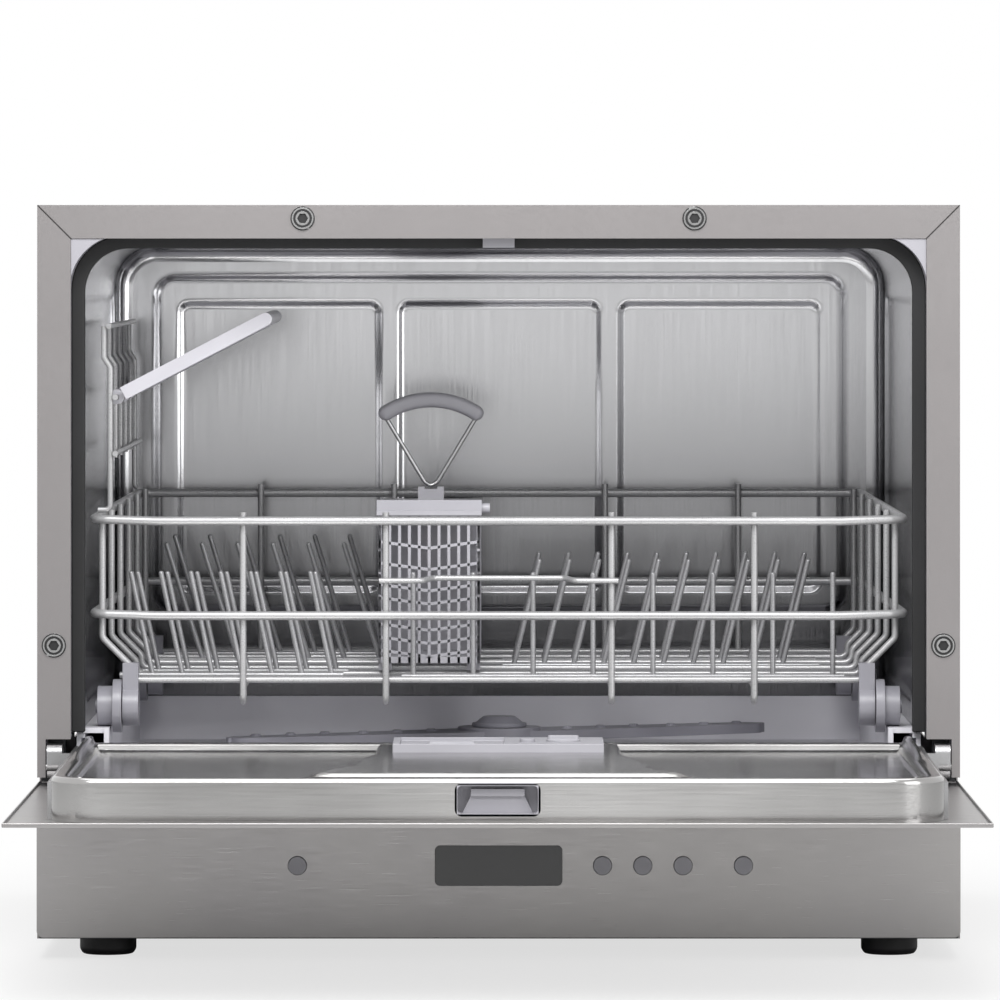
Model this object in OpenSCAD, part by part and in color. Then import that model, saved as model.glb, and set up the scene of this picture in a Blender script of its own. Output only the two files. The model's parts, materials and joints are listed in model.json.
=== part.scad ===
// Compact countertop dishwasher, door open at its stop and dish rack pushed in.
// Origin: bottom centre of the whole object in that pose, on the counter.
// +X is the user's right, +Y runs from the open door to the back, +Z is up. Millimetres.

/* [Cabinet] */
// Width over the side panels
cab_w = 551; // [500:1:600]
// Height of the top panel above the counter
cab_h = 450; // [440:1:470]
// Depth from the front frame to the back panel
cab_d = 476; // [460:1:520]
// Sheet thickness of the casing
sheet = 1; // [0.8:0.1:1.5]
// Width of the folded frame round the mouth
frame_w = 20; // [18:0.5:24]
// Height of the feet
foot_h = 12; // [8:1:20]
// Diameter of a foot
foot_d = 34; // [24:1:44]
// Diameter of a frame screw's head
screw_head_d = 13; // [9:0.5:15]
// Diameter of a frame screw's shank
screw_d = 4; // [3:0.5:5]
// Distance of the top frame screws from the middle
screw_x = 117; // [60:1:200]
// Height of the side frame screws
screw_z = 187; // [150:1:300]

/* [Mouth and tub] */
// Depth of the plastic bezel behind the frame
bezel_d = 26; // [22:1:34]
// Width of the rubber gasket
gasket_w = 8; // [6:0.5:10]
// Depth of the rubber gasket
gasket_d = 6; // [4:0.5:7]
// Outer corner radius of the gasket
gasket_r = 32; // [26:1:40]
// Inside width of the tub
tub_w = 499; // [498:1:501]
// Height of the tub's ceiling
tub_top = 426; // [420:0.5:427]
// Depth behind the frame of the tub's back wall
tub_back = 421; // [416:1:430]
// Thickness of the tub's steel
tub_t = 1.2; // [0.8:0.1:1.6]
// Inside corner radius of the tub
tub_r = 27; // [20:1:32]
// Depth of the pressed panels
emboss = 2; // [1:0.25:3]
// Width of one pressed back panel
panel_w = 129; // [100:1:132]
// Gap between the pressed back panels
panel_gap = 14; // [10:1:20]
// Height of the wheel ledges
ledge_z = 136; // [132:0.5:137]
// Width of the wheel ledges
ledge_w = 15.5; // [14:0.5:17]
// Height of the tub floor
floor_z = 105; // [102:0.5:108]
// Height of the floor's front lip
lip_z = 126; // [122:0.5:128]
// Wall thickness of the moulded floor
base_t = 3; // [2.5:0.5:4]
// Diameter of the sump well
sump_d = 120; // [100:1:130]
// Depth of the sump well below the floor
sump_depth = 46; // [36:1:52]
// Distance of the sump's middle behind the frame
sump_y = 222; // [221:1:224]

/* [Door] */
// Distance of the hinge axis behind the frame's front
hinge_y = 6; // [5.5:0.25:6.5]
// Height of the hinge axis
hinge_z = 114; // [113.5:0.25:114.5]
// Gap between the closed door and the frame, for the screw heads
door_gap = 3; // [3:0.25:3.5]
// Thickness of the door from the outer skin's back to the liner's rim
door_t = 23.4; // [22:0.1:24]
// Thickness of the outer skin's rolled edge
skin_edge = 2.5; // [2:0.1:3]
// Width of the door's inner body
liner_w = 501.4; // [500:0.2:504]
// Radius of the liner's two upper corners
liner_r = 28; // [24:1:30]
// Thickness of the liner's steel
liner_t = 1.2; // [0.8:0.1:1.6]
// Depth of the liner's recess below its rim
liner_recess = 5; // [3:0.5:8]
// Height of the liner's corners by the hinges above its rim
upstand = 4; // [2:0.25:4.5]
// Height of the liner's middle above its rim
plateau = 2.6; // [1:0.1:3]
// Gap above the fascia for the door's lower edge
door_foot_gap = 5.5; // [5.5:0.25:6.5]
// Width of the latch pocket in the door's upper edge
latch_w = 48; // [40:1:60]
// Height of the latch pocket
latch_h = 18.6; // [16:0.2:19]
// Width of the detergent dispenser
dispenser_w = 123; // [100:1:140]
// Length of the detergent dispenser along the door
dispenser_l = 62; // [60:1:80]
// Distance of the dispenser's near side in front of the frame
dispenser_out = 122; // [110:1:130]
// Width of the handle's recess in the door
handle_w = 120; // [80:1:160]
// Diameter of the hinge pins
pin_d = 6; // [5:0.5:8]

/* [Rack] */
// Depth of the rack's front rail behind the frame
rack_y = 38; // [36:1:40]
// Length of the rack from front rail to back rail
rack_l = 347; // [340:1:350]
// Width of the rack over its top rails' centres
rack_w = 488; // [480:1:488]
// Height of the front top rail
rail_z = 260; // [250:1:264]
// Height of the front middle rail
mid_rail_z = 203; // [196:1:210]
// Diameter of the rails
rail_d = 5.4; // [5:0.1:6]
// Diameter of the bent wires
wire_d = 4; // [3.6:0.1:4.4]
// Diameter of the tines
tine_d = 3.2; // [2.8:0.1:3.4]
// Height of the bottom wires
bottom_z = 164; // [162:0.5:166]
// Distance of the inner long wires from the middle
long_in = 68; // [60:1:72]
// Distance of the outer long wires from the middle
long_out = 154; // [140:1:160]
// Distance of the cross wires' lower bends from the middle
foot_x = 221.5; // [220:0.5:222]
// Narrowing of each side of the rack towards the back
side_taper = 11; // [8:0.5:12]
// Number of cross wires
cross_count = 6; // [5:1:7]
// Diameter of a wheel's tread
tread_d = 24; // [20:0.5:26]
// Diameter of a wheel's flange
flange_d = 32; // [28:0.5:34]
// Diameter of a wheel's axle
axle_d = 6; // [5:0.5:7]

/* [Cutlery basket and cup shelf] */
// Width of the cutlery basket
basket_w = 62; // [56:1:66]
// Length of the cutlery basket
basket_l = 226; // [200:1:236]
// Height of the cutlery basket
basket_h = 95; // [80:1:110]
// Wall thickness of the basket
basket_t = 2; // [1.6:0.1:2.5]
// Distance of the basket's middle to the left of the machine's middle
basket_x = 42.5; // [41:0.5:43]
// Distance of the basket's front wall behind the frame
basket_y = 96; // [90:1:100]
// Width of a slot in the basket's walls
slot_w = 4.2; // [3:0.1:4.5]
// Width of a bar in the basket's walls
bar_w = 2.2; // [1.5:0.1:3]
// Length of the cup shelf away from its rail
shelf_l = 106; // [90:1:108]
// Length of the cup shelf along the rack
shelf_run = 200; // [150:1:240]
// Tilt of the cup shelf at rest, in degrees
shelf_tilt = 27.5; // [10:0.5:30]
// Height of the cup shelf's rail
shelf_z = 334; // [325:1:340]
// Distance of the first cup wire behind the frame
cup_first = 60; // [56:1:66]
// Distance of the last cup wire behind the frame
cup_last = 366; // [350:1:370]

/* [Spray arm] */
// Radius of the spray arm
arm_r = 186; // [150:1:187]
// Turn of the spray arm in plan, in degrees
arm_turn = 24.5; // [0:0.5:90]
// Height of the spray arm's underside
arm_z = 117; // [115:0.5:119]
// Diameter of the arm's post
post_d = 18; // [14:0.5:22]

/* [Works under the tub] */
// Diameter of the circulation pump and its heater
pump_d = 54; // [46:1:58]
// Diameter of the drain pump
drain_d = 44; // [36:1:48]

/* [Controls] */
// Diameter of a push button
button_d = 11; // [8:0.5:14]
// Travel of a push button
button_travel = 1.5; // [1:0.1:2]
// Distance between the option buttons
button_pitch = 24; // [18:1:30]
// Distance of the first option button to the right of the middle
option_x = 62; // [58:1:70]
// Distance of the start button to the right of the middle
start_x = 146; // [144:1:150]
// Distance of the power button to the left of the middle
power_x = 120; // [60:1:135]
// Height of the push buttons
button_z = 56; // [52:1:60]

/* [Connections] */
// Distance of the water inlet to the left of the middle
inlet_x = 170; // [140:1:200]
// Distance of the drain outlet to the left of the middle
outlet_x = 110; // [90:1:125]
// Distance of the mains gland to the right of the middle
gland_x = 180; // [120:1:220]
// Height of the connections at the back
inlet_z = 60; // [50:1:75]
// Diameter of the water inlet's thread
inlet_d = 26.4; // [20:0.1:30]
// Diameter of the drain outlet
outlet_d = 22; // [18:0.5:26]
// Diameter of the mains gland
gland_d = 16; // [12:0.5:20]
// Length of the connections outside the back panel
stub_l = 12; // [8:1:16]

/* [Fits] */
// Gap between pieces that seat on each other
seat = 0.1; // [0.05:0.01:0.2]
// Gap between bodies that move past each other
clear = 0.3; // [0.25:0.05:0.5]
// Radial running clearance of pins and axles
run = 0.05; // [0.03:0.01:0.1]

/* [Hidden] */
eps = 0.01;
round_fn = 48;
// A bent wire is a prism of this many sides, so that its mitres meet truly.
wire_sides = 8;

// Heights and depths of the open door, taken from its hinge.
half_w = cab_w / 2;
mouth_x = half_w - frame_w;
mouth_z = cab_h - frame_w;
skin_face = hinge_z - hinge_y - door_gap - skin_edge;
skin_back = skin_face + skin_edge;
rim_z = skin_back + door_t;
// The side frames end where the door's inner face still passes them half open.
stile_foot = hinge_z + hinge_y - sqrt(2) * (hinge_y + door_gap - 2 * clear);
// Depth of the lips folded back round the mouth.
fold = 5;
fascia_top = skin_face - 6;
skin_far = hinge_y + hinge_z - (fascia_top + door_foot_gap);
skin_near = hinge_y + hinge_z - (cab_h - 1);
liner_near = hinge_y + hinge_z - (mouth_z - 2);
liner_far = hinge_y + 8;
rim_closed = hinge_y + rim_z - hinge_z;
sweep_r = norm([rim_closed + upstand - hinge_y, liner_far - hinge_y]);
gasket_y = rim_closed + clear + 0.1;
lip_y = hinge_y + sweep_r + 0.8;
total_l = cab_d + stub_l - skin_near;
front_y = -skin_near - total_l / 2;

// Hinge pockets beside the mouth.
pocket_x = half_w - 5;
pocket_top = hinge_z + 17;
arm_x = [pocket_x - 10, pocket_x - 1];

// Wall planes of the tub and its mouth.
tub_x = tub_w / 2;
gasket_x = tub_x + tub_t / 2 - 2 + gasket_w;
gasket_top = tub_top + gasket_w - 2;
bezel_x = half_w - sheet - clear;

// Rack planes.
rack_back = rack_y + rack_l;
top_slope = 6 / rack_l;
side_x = rack_w / 2;
// The side rails start this much higher than the front rail.
corner_rise = 1.2;
function rail_x(y) = side_x - side_taper * (y - rack_y) / rack_l;
function side_rail_z(y) = rail_z + corner_rise
    + (rack_l * top_slope - corner_rise) * (y - rack_y) / rack_l;
// Distance of a wire from the rail that it is welded to.
beside = (rail_d + wire_d) / 2 + seat;
wire_x = rail_x(rack_y) - beside;
long_x = [-long_out, -long_in, long_in, long_out];
long_front = rack_y + beside;
long_back = rack_back - beside;
run_z = bottom_z - wire_d - seat;
cross_z = run_z + wire_d + seat;
cross_first = long_front + wire_d + seat;
cross_last = long_back - wire_d - seat;
cross_pitch = (cross_last - cross_first) / (cross_count - 1);
// Height of the grip wire at the front.
grip_z = 224;
wheel_y = [cross_first, cross_last];
wheel_z = ledge_z + tread_d / 2 + clear;
wheel_in = tub_x - ledge_w - 1.5;

cup_y = [cup_first, cup_last];
cup_x = wire_x - 0.5;
cup_wire_d = wire_d - 0.6;
// The cup wires stand this much further in below their bend.
cup_step = 3.8;
shelf_x = cup_x - cup_step - cup_wire_d + 0.3;
basket_z = cross_z + wire_d / 2 + clear;
basket_top = basket_z + basket_h;
basket_mid = basket_y + basket_l / 2;
// The handle's wire, seen from the front, up from the basket's lid.
handle_d = 2.6;
handle_path = [for (p = [[-31, 62], [-4, 17], [0, 14.4], [4, 17], [31, 62]])
    [p.x - basket_x, basket_mid, basket_top + seat + p.y]];

// Pieces on the door and in the lock.
handle_y = skin_near + 38;
latch_z = rim_z - 2.6 - latch_h;
dispenser_y = -dispenser_out;
dispenser_top = rim_z + plateau + 5;
lock_pin = [17, mouth_z + 9];

// Controls, from left to right: power, start, then the three options.
fascia_y = -door_gap - skin_edge;
window = [[-38, button_z - 12], [38, button_z + 12]];
button_place = [-power_x, start_x, option_x, option_x + button_pitch, option_x + 2 * button_pitch];

arm_top = arm_z + 6;
cradle_z = foot_h + 20;
pan_top = foot_h + 30;
well_z = floor_z - 6 - sump_depth;

// ---------- shared shapes ----------

// Puts a piece drawn from the frame's front plane into the object's own frame.
module placed() {
    translate([0, front_y, 0]) children();
}

module mirrored(side) {
    scale([side, 1, 1]) children();
}

// Rounded rectangle between two corners.
module rounded(low, high, r) {
    translate([low.x + r, low.y]) square([high.x - low.x - 2 * r, high.y - low.y]);
    translate([low.x, low.y + r]) square([high.x - low.x, high.y - low.y - 2 * r]);
    for (x = [low.x + r, high.x - r])
        for (y = [low.y + r, high.y - r])
            translate([x, y]) circle(r = r, $fn = round_fn);
}

// Outline with square feet and rounded upper corners.
module arch(x, low, high, r) {
    translate([-x, low]) square([2 * x, high - low - r]);
    translate([-x + r, high - r - eps]) square([2 * (x - r), r + eps]);
    for (side = [-1, 1])
        translate([side * (x - r), high - r]) circle(r = r, $fn = 2 * round_fn);
}

// Extrudes an X-Z outline from one depth to another.
module along_y(from, to) {
    translate([0, to, 0]) rotate([90, 0, 0]) linear_extrude(to - from) children();
}

// Extrudes a Y-Z outline from one side to another.
module along_x(from, to) {
    translate([from, 0, 0]) rotate([90, 0, 90]) linear_extrude(to - from) children();
}

module block(low, high) {
    translate(low) cube(high - low);
}

// Straight wire between two points, carried on past each end by reach_past.
module wire(a, b, d, past = [0, 0], sides = 24) {
    v = b - a;
    length = norm(v);
    translate(a - past[0] * v / length)
        rotate([0, acos(v.z / length), atan2(v.y, v.x)])
            cylinder(d = d, h = length + past[0] + past[1], $fn = sides);
}

// How far a wire goes past a bend at q to fill the bend's outer corner.
function reach_past(p, q, s, d) = p == q || q == s ? 0 :
    d / 2 * tan(acos(min(1, (q - p) * (s - q) / norm(q - p) / norm(s - q))) / 2);

// Bent wire through a list of points, mitred at each bend.
module bent_wire(points, d, closed = false) {
    count = len(points);
    for (i = [0 : count - (closed ? 1 : 2)]) {
        a = points[i];
        b = points[(i + 1) % count];
        before = closed || i > 0 ? points[(i + count - 1) % count] : a;
        after = closed || i < count - 2 ? points[(i + 2) % count] : b;
        wire(a, b, d, [reach_past(before, a, b, d), reach_past(a, b, after, d)], wire_sides);
    }
}

// A path's right half, without its middle, carried over to the left too.
function both_sides(half) = concat(
    [for (i = [len(half) - 1 : -1 : 0]) [-half[i].x, half[i].y, half[i].z]], half);

module rod_x(from, to, y, z, d) {
    translate([from, y, z]) rotate([0, 90, 0]) cylinder(d = d, h = to - from, $fn = round_fn);
}

module rod_y(from, to, x, z, d) {
    translate([x, from, z]) rotate([-90, 0, 0]) cylinder(d = d, h = to - from, $fn = round_fn);
}

module rod_z(from, to, x, y, d) {
    translate([x, y, from]) cylinder(d = d, h = to - from, $fn = round_fn);
}

// ---------- casing ----------

module screw_places() {
    for (side = [-1, 1]) {
        translate([side * screw_x, 0, cab_h - 8]) children();
        translate([side * (mouth_x + 10), 0, screw_z]) children();
    }
}

module top_panel() {
    color("#a09a9a") placed() difference() {
        union() {
            block([-half_w, 0, cab_h - sheet], [half_w, cab_d - sheet - seat, cab_h]);
            along_y(0, sheet) polygon([
                [-half_w + seat, cab_h], [half_w - seat, cab_h],
                [mouth_x + seat, mouth_z], [-mouth_x - seat, mouth_z],
            ]);
            block([-mouth_x, 0, mouth_z], [mouth_x, fold, mouth_z + sheet]);
        }
        screw_places() rod_y(-1, 3, 0, 0, screw_d + 2 * seat);
    }
}

module side_panel(side) {
    color("#8d8989") placed() mirrored(side) difference() {
        union() {
            block([half_w - sheet, 0, foot_h], [half_w, cab_d - sheet - seat, cab_h - sheet - seat]);
            along_y(0, sheet) polygon([
                [mouth_x, stile_foot], [half_w, stile_foot],
                [half_w, cab_h - sheet - seat], [half_w - sheet - seat, cab_h - sheet - seat],
                [mouth_x, mouth_z - seat],
            ]);
            block([mouth_x, 0, pocket_top], [mouth_x + sheet, fold, mouth_z - seat]);
        }
        block([mouth_x - 1, -1, stile_foot - 1], [pocket_x, fold + 1, pocket_top]);
        block([half_w - 3, -1, fascia_top + 0.5], [half_w + 1, hinge_y + 19, stile_foot]);
        translate([mouth_x + 10, 0, screw_z]) rod_y(-1, 3, 0, 0, screw_d + 2 * seat);
        for (i = [0 : 5])
            block([half_w - 3, cab_d - 90, 60 + 12 * i], [half_w + 1, cab_d - 40, 64 + 12 * i]);
    }
}

module back_panel() {
    color("#9b9b9d") placed() difference() {
        union() {
            block([-half_w, cab_d - sheet, foot_h], [half_w, cab_d, cab_h]);
            for (side = [-1, 1])
                mirrored(side) along_y(cab_d - 4, cab_d - sheet + eps)
                    rounded([60, 150], [230, 400], 14);
        }
        for (side = [-1, 1])
            mirrored(side) along_y(cab_d - 4 + sheet, cab_d + 1)
                rounded([60 + sheet, 150 + sheet], [230 - sheet, 400 - sheet], 13);
        along_y(cab_d - 6, cab_d + 1) {
            translate([-inlet_x, inlet_z]) circle(d = inlet_d - 3 + 2 * seat, $fn = round_fn);
            translate([-outlet_x, inlet_z]) circle(d = outlet_d - 3 + 2 * seat, $fn = round_fn);
            translate([gland_x, inlet_z]) circle(d = gland_d + 2 * seat, $fn = round_fn);
            for (i = [0 : 7])
                translate([-60, 60 + 9 * i]) square([120, 3.5]);
        }
    }
}

module frame_screws() {
    color("#c4c4c6") placed() screw_places() difference() {
        union() {
            rod_y(-2.2, -0.6, 0, 0, screw_head_d);
            rod_y(-0.6 - eps, -eps, 0, 0, screw_head_d + 1.6);
            rod_y(-0.5, 14, 0, 0, screw_d);
        }
        translate([0, -1, 0]) rotate([90, 0, 0]) cylinder(d = 6.5, h = 3, $fn = 6);
        difference() {
            rod_y(-3, -1.7, 0, 0, screw_head_d - 1.8);
            rod_y(-3, -1.7, 0, 0, 8.4);
        }
    }
}

module base_pan() {
    color("#4c4d50") placed() difference() {
        union() {
            difference() {
                block([-bezel_x, 0, foot_h], [bezel_x, cab_d - sheet - 2 * seat, pan_top]);
                block([-bezel_x + 3, 3, foot_h + 3], [bezel_x - 3, cab_d - sheet - 4, pan_top + 1]);
            }
            for (side = [-1, 1]) mirrored(side) {
                block([bezel_x - 14, bezel_d + seat, foot_h + 2], [bezel_x, bezel_d + 16, stile_foot + 40]);
                block([bezel_x - 24, cab_d - 62, foot_h + 2],
                      [bezel_x - 8, cab_d - 46, floor_z - base_t - seat]);
            }
            // Cradles for the pumps and the heater, and ribs across the pan.
            for (x = [80, 120, 165, -90, -120])
                block([x, sump_y - 30, foot_h + 2], [x + 5, sump_y + 30, cradle_z]);
            for (y = [100, 330])
                block([-bezel_x + 2, y, foot_h + 2], [bezel_x - 2, y + 3, 30]);
        }
        for (x = [-235, 235])
            for (y = [38, cab_d - 50])
                rod_z(foot_h - 1, foot_h + 20, x, y, 8 + 2 * seat);
    }
}

module feet() {
    color("#2b2b2d") placed()
        for (x = [-235, 235])
            for (y = [38, cab_d - 50])
                translate([x, y, 0]) {
                    cylinder(d1 = foot_d - 4, d2 = foot_d, h = 3, $fn = round_fn);
                    translate([0, 0, 3]) cylinder(d = foot_d, h = foot_h - 3 - seat, $fn = round_fn);
                    cylinder(d = 8, h = foot_h + 14, $fn = round_fn);
                }
}

// Plastic ring that carries the casing's front, the gasket and the hinge pins.
module bezel() {
    color("#b8b7bd") placed() difference() {
        along_y(sheet + seat, bezel_d) difference() {
            translate([-bezel_x, stile_foot])
                square([2 * bezel_x, cab_h - sheet - seat - stile_foot]);
            arch(gasket_x + seat, 0, gasket_top + seat, gasket_r + seat);
        }
        // Room for the frame's folded lips.
        for (side = [-1, 1]) mirrored(side)
            block([mouth_x - seat, 0, pocket_top - 1],
                  [mouth_x + sheet + seat, fold + seat, mouth_z + sheet]);
        block([-mouth_x - seat, 0, mouth_z - seat],
              [mouth_x + seat, fold + seat, mouth_z + sheet + seat]);
        // Hinge pockets, and the seats of the pins in their outer walls.
        for (side = [-1, 1]) mirrored(side) {
            block([mouth_x - 8, -1, stile_foot - 1], [pocket_x, bezel_d + 1, pocket_top]);
            rod_x(pocket_x - 1, half_w, hinge_y, hinge_z, pin_d + 2 * seat);
        }
        // Seat of the lock.
        block([-36, -1, mouth_z + 2], [36, bezel_d + 1, cab_h - 4]);
        block([-12, -1, mouth_z - 10], [12, bezel_d + 1, mouth_z + 3]);
        screw_places() rod_y(0, 15, 0, 0, screw_d + 2 * seat);
    }
}

module mouth_gasket() {
    color("#121212") placed() along_y(gasket_y, gasket_y + gasket_d) difference() {
        arch(gasket_x, pocket_top + 3, gasket_top, gasket_r);
        arch(gasket_x - gasket_w, 0, gasket_top - gasket_w, gasket_r - gasket_w + 2);
    }
}

// Seal on the front lip of the tub floor.
module lower_seal() {
    x = tub_x - ledge_w - seat;
    color("#121212") placed() {
        block([-x, lip_y - 0.4, 108], [x, lip_y + 2.6 - seat, 112]);
        block([-x, lip_y + 1, 112 - eps], [x, lip_y + 2.6 - seat, 118]);
    }
}

module door_seals() {
    mouth_gasket();
    lower_seal();
}

// ---------- tub ----------

module back_panels(grow) {
    for (i = [-1 : 1])
        translate([i * (panel_w + panel_gap), 0])
            rounded([-panel_w / 2 - grow, 202 - grow], [panel_w / 2 + grow, 388 + grow], 6 + grow);
}

module tub_shell() {
    low = ledge_z - base_t;
    outer = [tub_x + tub_t, tub_top + tub_t, tub_r + tub_t];
    front = gasket_y + gasket_d + seat;
    color("#c9cac8") placed() difference() {
        union() {
            along_y(front, tub_back + tub_t) arch(outer.x, low, outer.y, outer.z);
            // Flange that the gasket seats on.
            along_y(front, front + tub_t) arch(tub_x + 8, low, tub_top + 14, gasket_r);
            // Pressed panels of the side walls.
            for (side = [-1, 1]) mirrored(side)
                along_x(tub_x, tub_x + emboss + tub_t) rounded([60, 152], [398, 392], 14);
        }
        along_y(front - 1, tub_back - emboss) arch(tub_x, low - 1, tub_top, tub_r);
        for (side = [-1, 1]) mirrored(side)
            along_x(tub_x - 1, tub_x + emboss)
                rounded([60 + tub_t, 152 + tub_t], [398 - tub_t, 392 - tub_t], 14 - tub_t);
        // Back wall: a raised field with three panels pressed back into it.
        along_y(tub_back - emboss - 1, tub_back) {
            difference() {
                arch(tub_x, low - 1, tub_top, tub_r);
                rounded([-223, 189], [223, 405], 12);
            }
            back_panels(0);
        }
        along_y(tub_back - emboss + tub_t, tub_back + tub_t + 1) difference() {
            rounded([-223 + tub_t, 189 + tub_t], [223 - tub_t, 405 - tub_t], 12 - tub_t);
            back_panels(tub_t);
        }
    }
}

module tub_floor() {
    ledge_x = tub_x - ledge_w;
    rim_y = tub_back - 4;
    color("#85848c") placed() difference() {
        union() {
            // Floor plate, its walls and the wheel ledges.
            block([-tub_x - 4, lip_y, floor_z - base_t], [tub_x + 4, tub_back + 5, floor_z]);
            for (side = [-1, 1]) mirrored(side) {
                block([ledge_x, lip_y, floor_z - eps], [ledge_x + base_t, rim_y, ledge_z]);
                block([ledge_x, lip_y + 1.5, ledge_z - base_t], [tub_x - seat, rim_y, ledge_z]);
                block([tub_x - 1, lip_y + 1.5, ledge_z - 2 * base_t],
                      [tub_x + 4, tub_back + 5, ledge_z - base_t - seat]);
                block([tub_x + tub_t + seat, gasket_y + gasket_d + 2, floor_z - eps],
                      [tub_x + 4, tub_back + 5, ledge_z + 4]);
            }
            block([-tub_x, rim_y, floor_z - eps], [tub_x, rim_y + base_t, ledge_z - base_t - seat]);
            block([-tub_x, rim_y, ledge_z - 2 * base_t],
                  [tub_x, tub_back + 5, ledge_z - base_t - seat]);
            block([-tub_x - 4, tub_back + tub_t + seat, floor_z - eps],
                  [tub_x + 4, tub_back + 5, ledge_z + 4]);
            // Front lip with a rounded top.
            block([-ledge_x, lip_y, 119], [ledge_x, lip_y + 5, lip_z - 2.5]);
            rod_x(-ledge_x, ledge_x, lip_y + 2.5, lip_z - 2.5, 5);
            block([-ledge_x, lip_y + 2.6, floor_z - eps], [ledge_x, lip_y + 5, 120]);
            // Dish and sump well.
            translate([0, sump_y, floor_z - 6 - base_t])
                cylinder(r1 = sump_d / 2 + base_t, r2 = 165, h = 6 + eps, $fn = 96);
            rod_z(well_z - base_t, floor_z - 6, 0, sump_y, sump_d + 2 * base_t);
        }
        translate([0, sump_y, floor_z - 6])
            cylinder(r1 = sump_d / 2, r2 = 160, h = 6 + eps, $fn = 96);
        rod_z(well_z, floor_z, 0, sump_y, sump_d);
        rod_x(sump_d / 2 - 6, sump_d / 2 + 5, sump_y, cradle_z + pump_d / 2, 24);
    }
}

module hex_holes(r, pitch, d) {
    for (i = [-r / pitch : r / pitch])
        for (j = [-r / pitch : r / pitch]) {
            x = (i + (abs(j) % 2) / 2) * pitch;
            y = j * pitch * 0.87;
            if (norm([x, y]) > 20 && norm([x, y]) < r - pitch / 2 && norm([x - 34, y]) > 28)
                translate([x, y]) circle(d = d, $fn = 6);
        }
}

module filter_plate() {
    color("#b9bab8") placed() translate([0, sump_y, floor_z - 3 - seat]) linear_extrude(1.2)
        difference() {
            circle(r = 88, $fn = 96);
            circle(d = post_d + 2 * clear, $fn = round_fn);
            translate([34, 0]) circle(d = 44 + 2 * clear, $fn = round_fn);
            hex_holes(84, 11, 5);
        }
}

module filter_cup() {
    top = floor_z - 3 - seat + 1.2 + seat;
    color("#9a9aa0") placed() translate([34, sump_y, 0]) {
        difference() {
            union() {
                rod_z(well_z + 0.3, top + 0.1, 0, 0, 44);
                rod_z(top, top + 3, 0, 0, 48);
            }
            rod_z(well_z + 3, top + 5, 0, 0, 38);
            for (a = [0 : 30 : 330]) rotate(a)
                block([10, -2.5, well_z + 10], [30, 2.5, top - 8]);
        }
        // Grip across the mouth.
        block([-20, -2, top - 6], [20, 2, top + 6]);
    }
}

module arm_post() {
    color("#6f6f76") placed() difference() {
        union() {
            rod_z(well_z + 0.1, arm_z - seat, 0, sump_y, post_d);
            rod_z(arm_z - seat - eps, arm_top + 3, 0, sump_y, post_d - 6);
        }
        rod_z(well_z + 4, arm_top + 4, 0, sump_y, post_d - 10);
    }
}

// Half of the spray arm in plan, along +X from the post.
module blade() {
    polygon([
        [0, -24], [60, -21], [arm_r - 14, -10], [arm_r - 14, 10], [70, 14], [0, 20],
    ]);
    translate([arm_r - 14, 0]) circle(r = 10, $fn = round_fn);
    translate([arm_r - 14, -2]) square([14, 4]);
}

module spray_arm() {
    color("#77767e") placed() translate([0, sump_y, arm_z]) rotate(arm_turn) difference() {
        union() {
            for (turn = [0, 180]) rotate(turn) {
                linear_extrude(6) difference() {
                    blade();
                    translate([arm_r - 2, -20]) square([10, 40]);
                }
                // Nozzles.
                for (i = [0 : 5])
                    translate([44 + 24 * i, -6 + 2 * (i % 3), 6 - eps])
                        cylinder(d1 = 8, d2 = 5, h = 1.6, $fn = 24);
            }
            cylinder(d = 52, h = 8, $fn = round_fn);
        }
        translate([0, 0, -1]) cylinder(d = post_d - 6 + 2 * run, h = 12, $fn = round_fn);
    }
}

module arm_cap() {
    color("#77767e") placed() translate([0, sump_y, arm_z + 8 + seat]) difference() {
        union() {
            cylinder(d = 34, h = 2.5, $fn = round_fn);
            translate([0, 0, 2.5 - eps]) cylinder(d1 = 30, d2 = 20, h = 4, $fn = round_fn);
        }
        translate([0, 0, -1]) cylinder(d = post_d - 6 + 2 * clear, h = 4.5, $fn = round_fn);
    }
}

// ---------- works under the tub ----------

module circulation_pump() {
    y = sump_y;
    z = cradle_z + pump_d / 2 + seat;
    color("#3f4043") placed() {
        rod_x(sump_d / 2 + base_t + seat, 76, y, z, 23);
        rod_x(76 - eps, 88, y, z, pump_d);
        rod_x(88 - eps, 152, y, z, pump_d - 2);
        for (i = [0 : 5])
            rod_x(94 + 9 * i, 97 + 9 * i, y, z, pump_d);
    }
}

module heater() {
    z = cradle_z + pump_d / 2 + seat;
    color("#b5b6b8") placed() difference() {
        union() {
            rod_x(152 + seat, 188, sump_y, z, pump_d);
            rod_x(188 - eps, 194, sump_y, z, 30);
        }
        rod_x(151, 184, sump_y, z, pump_d - 8);
    }
}

module drain_pump() {
    z = cradle_z + drain_d / 2 + seat;
    color("#3f4043") placed() {
        rod_x(-78, -sump_d / 2 - base_t - seat, sump_y, z, 18);
        rod_x(-92, -78 + eps, sump_y, z, drain_d);
        rod_x(-135, -92 + eps, sump_y, z, drain_d - 6);
        rod_x(-124, -116, sump_y, z, drain_d);
    }
}

module pumps() {
    circulation_pump();
    drain_pump();
}

module inlet_valve() {
    y = cab_d - 42;
    color("#d8d8d4") placed() {
        block([-inlet_x - 16, y - 30, foot_h + 3 + seat], [-inlet_x + 16, y, inlet_z + 16]);
        rod_y(y - eps, cab_d + seat + eps, -inlet_x, inlet_z, inlet_d - 3);
        rod_y(cab_d + seat, cab_d + stub_l, -inlet_x, inlet_z, inlet_d);
        rod_y(y - eps, y + 6, -inlet_x, inlet_z, inlet_d + 6);
        rod_z(inlet_z + 16 - eps, floor_z - base_t - seat, -inlet_x, y - 15, 14);
    }
}

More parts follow.
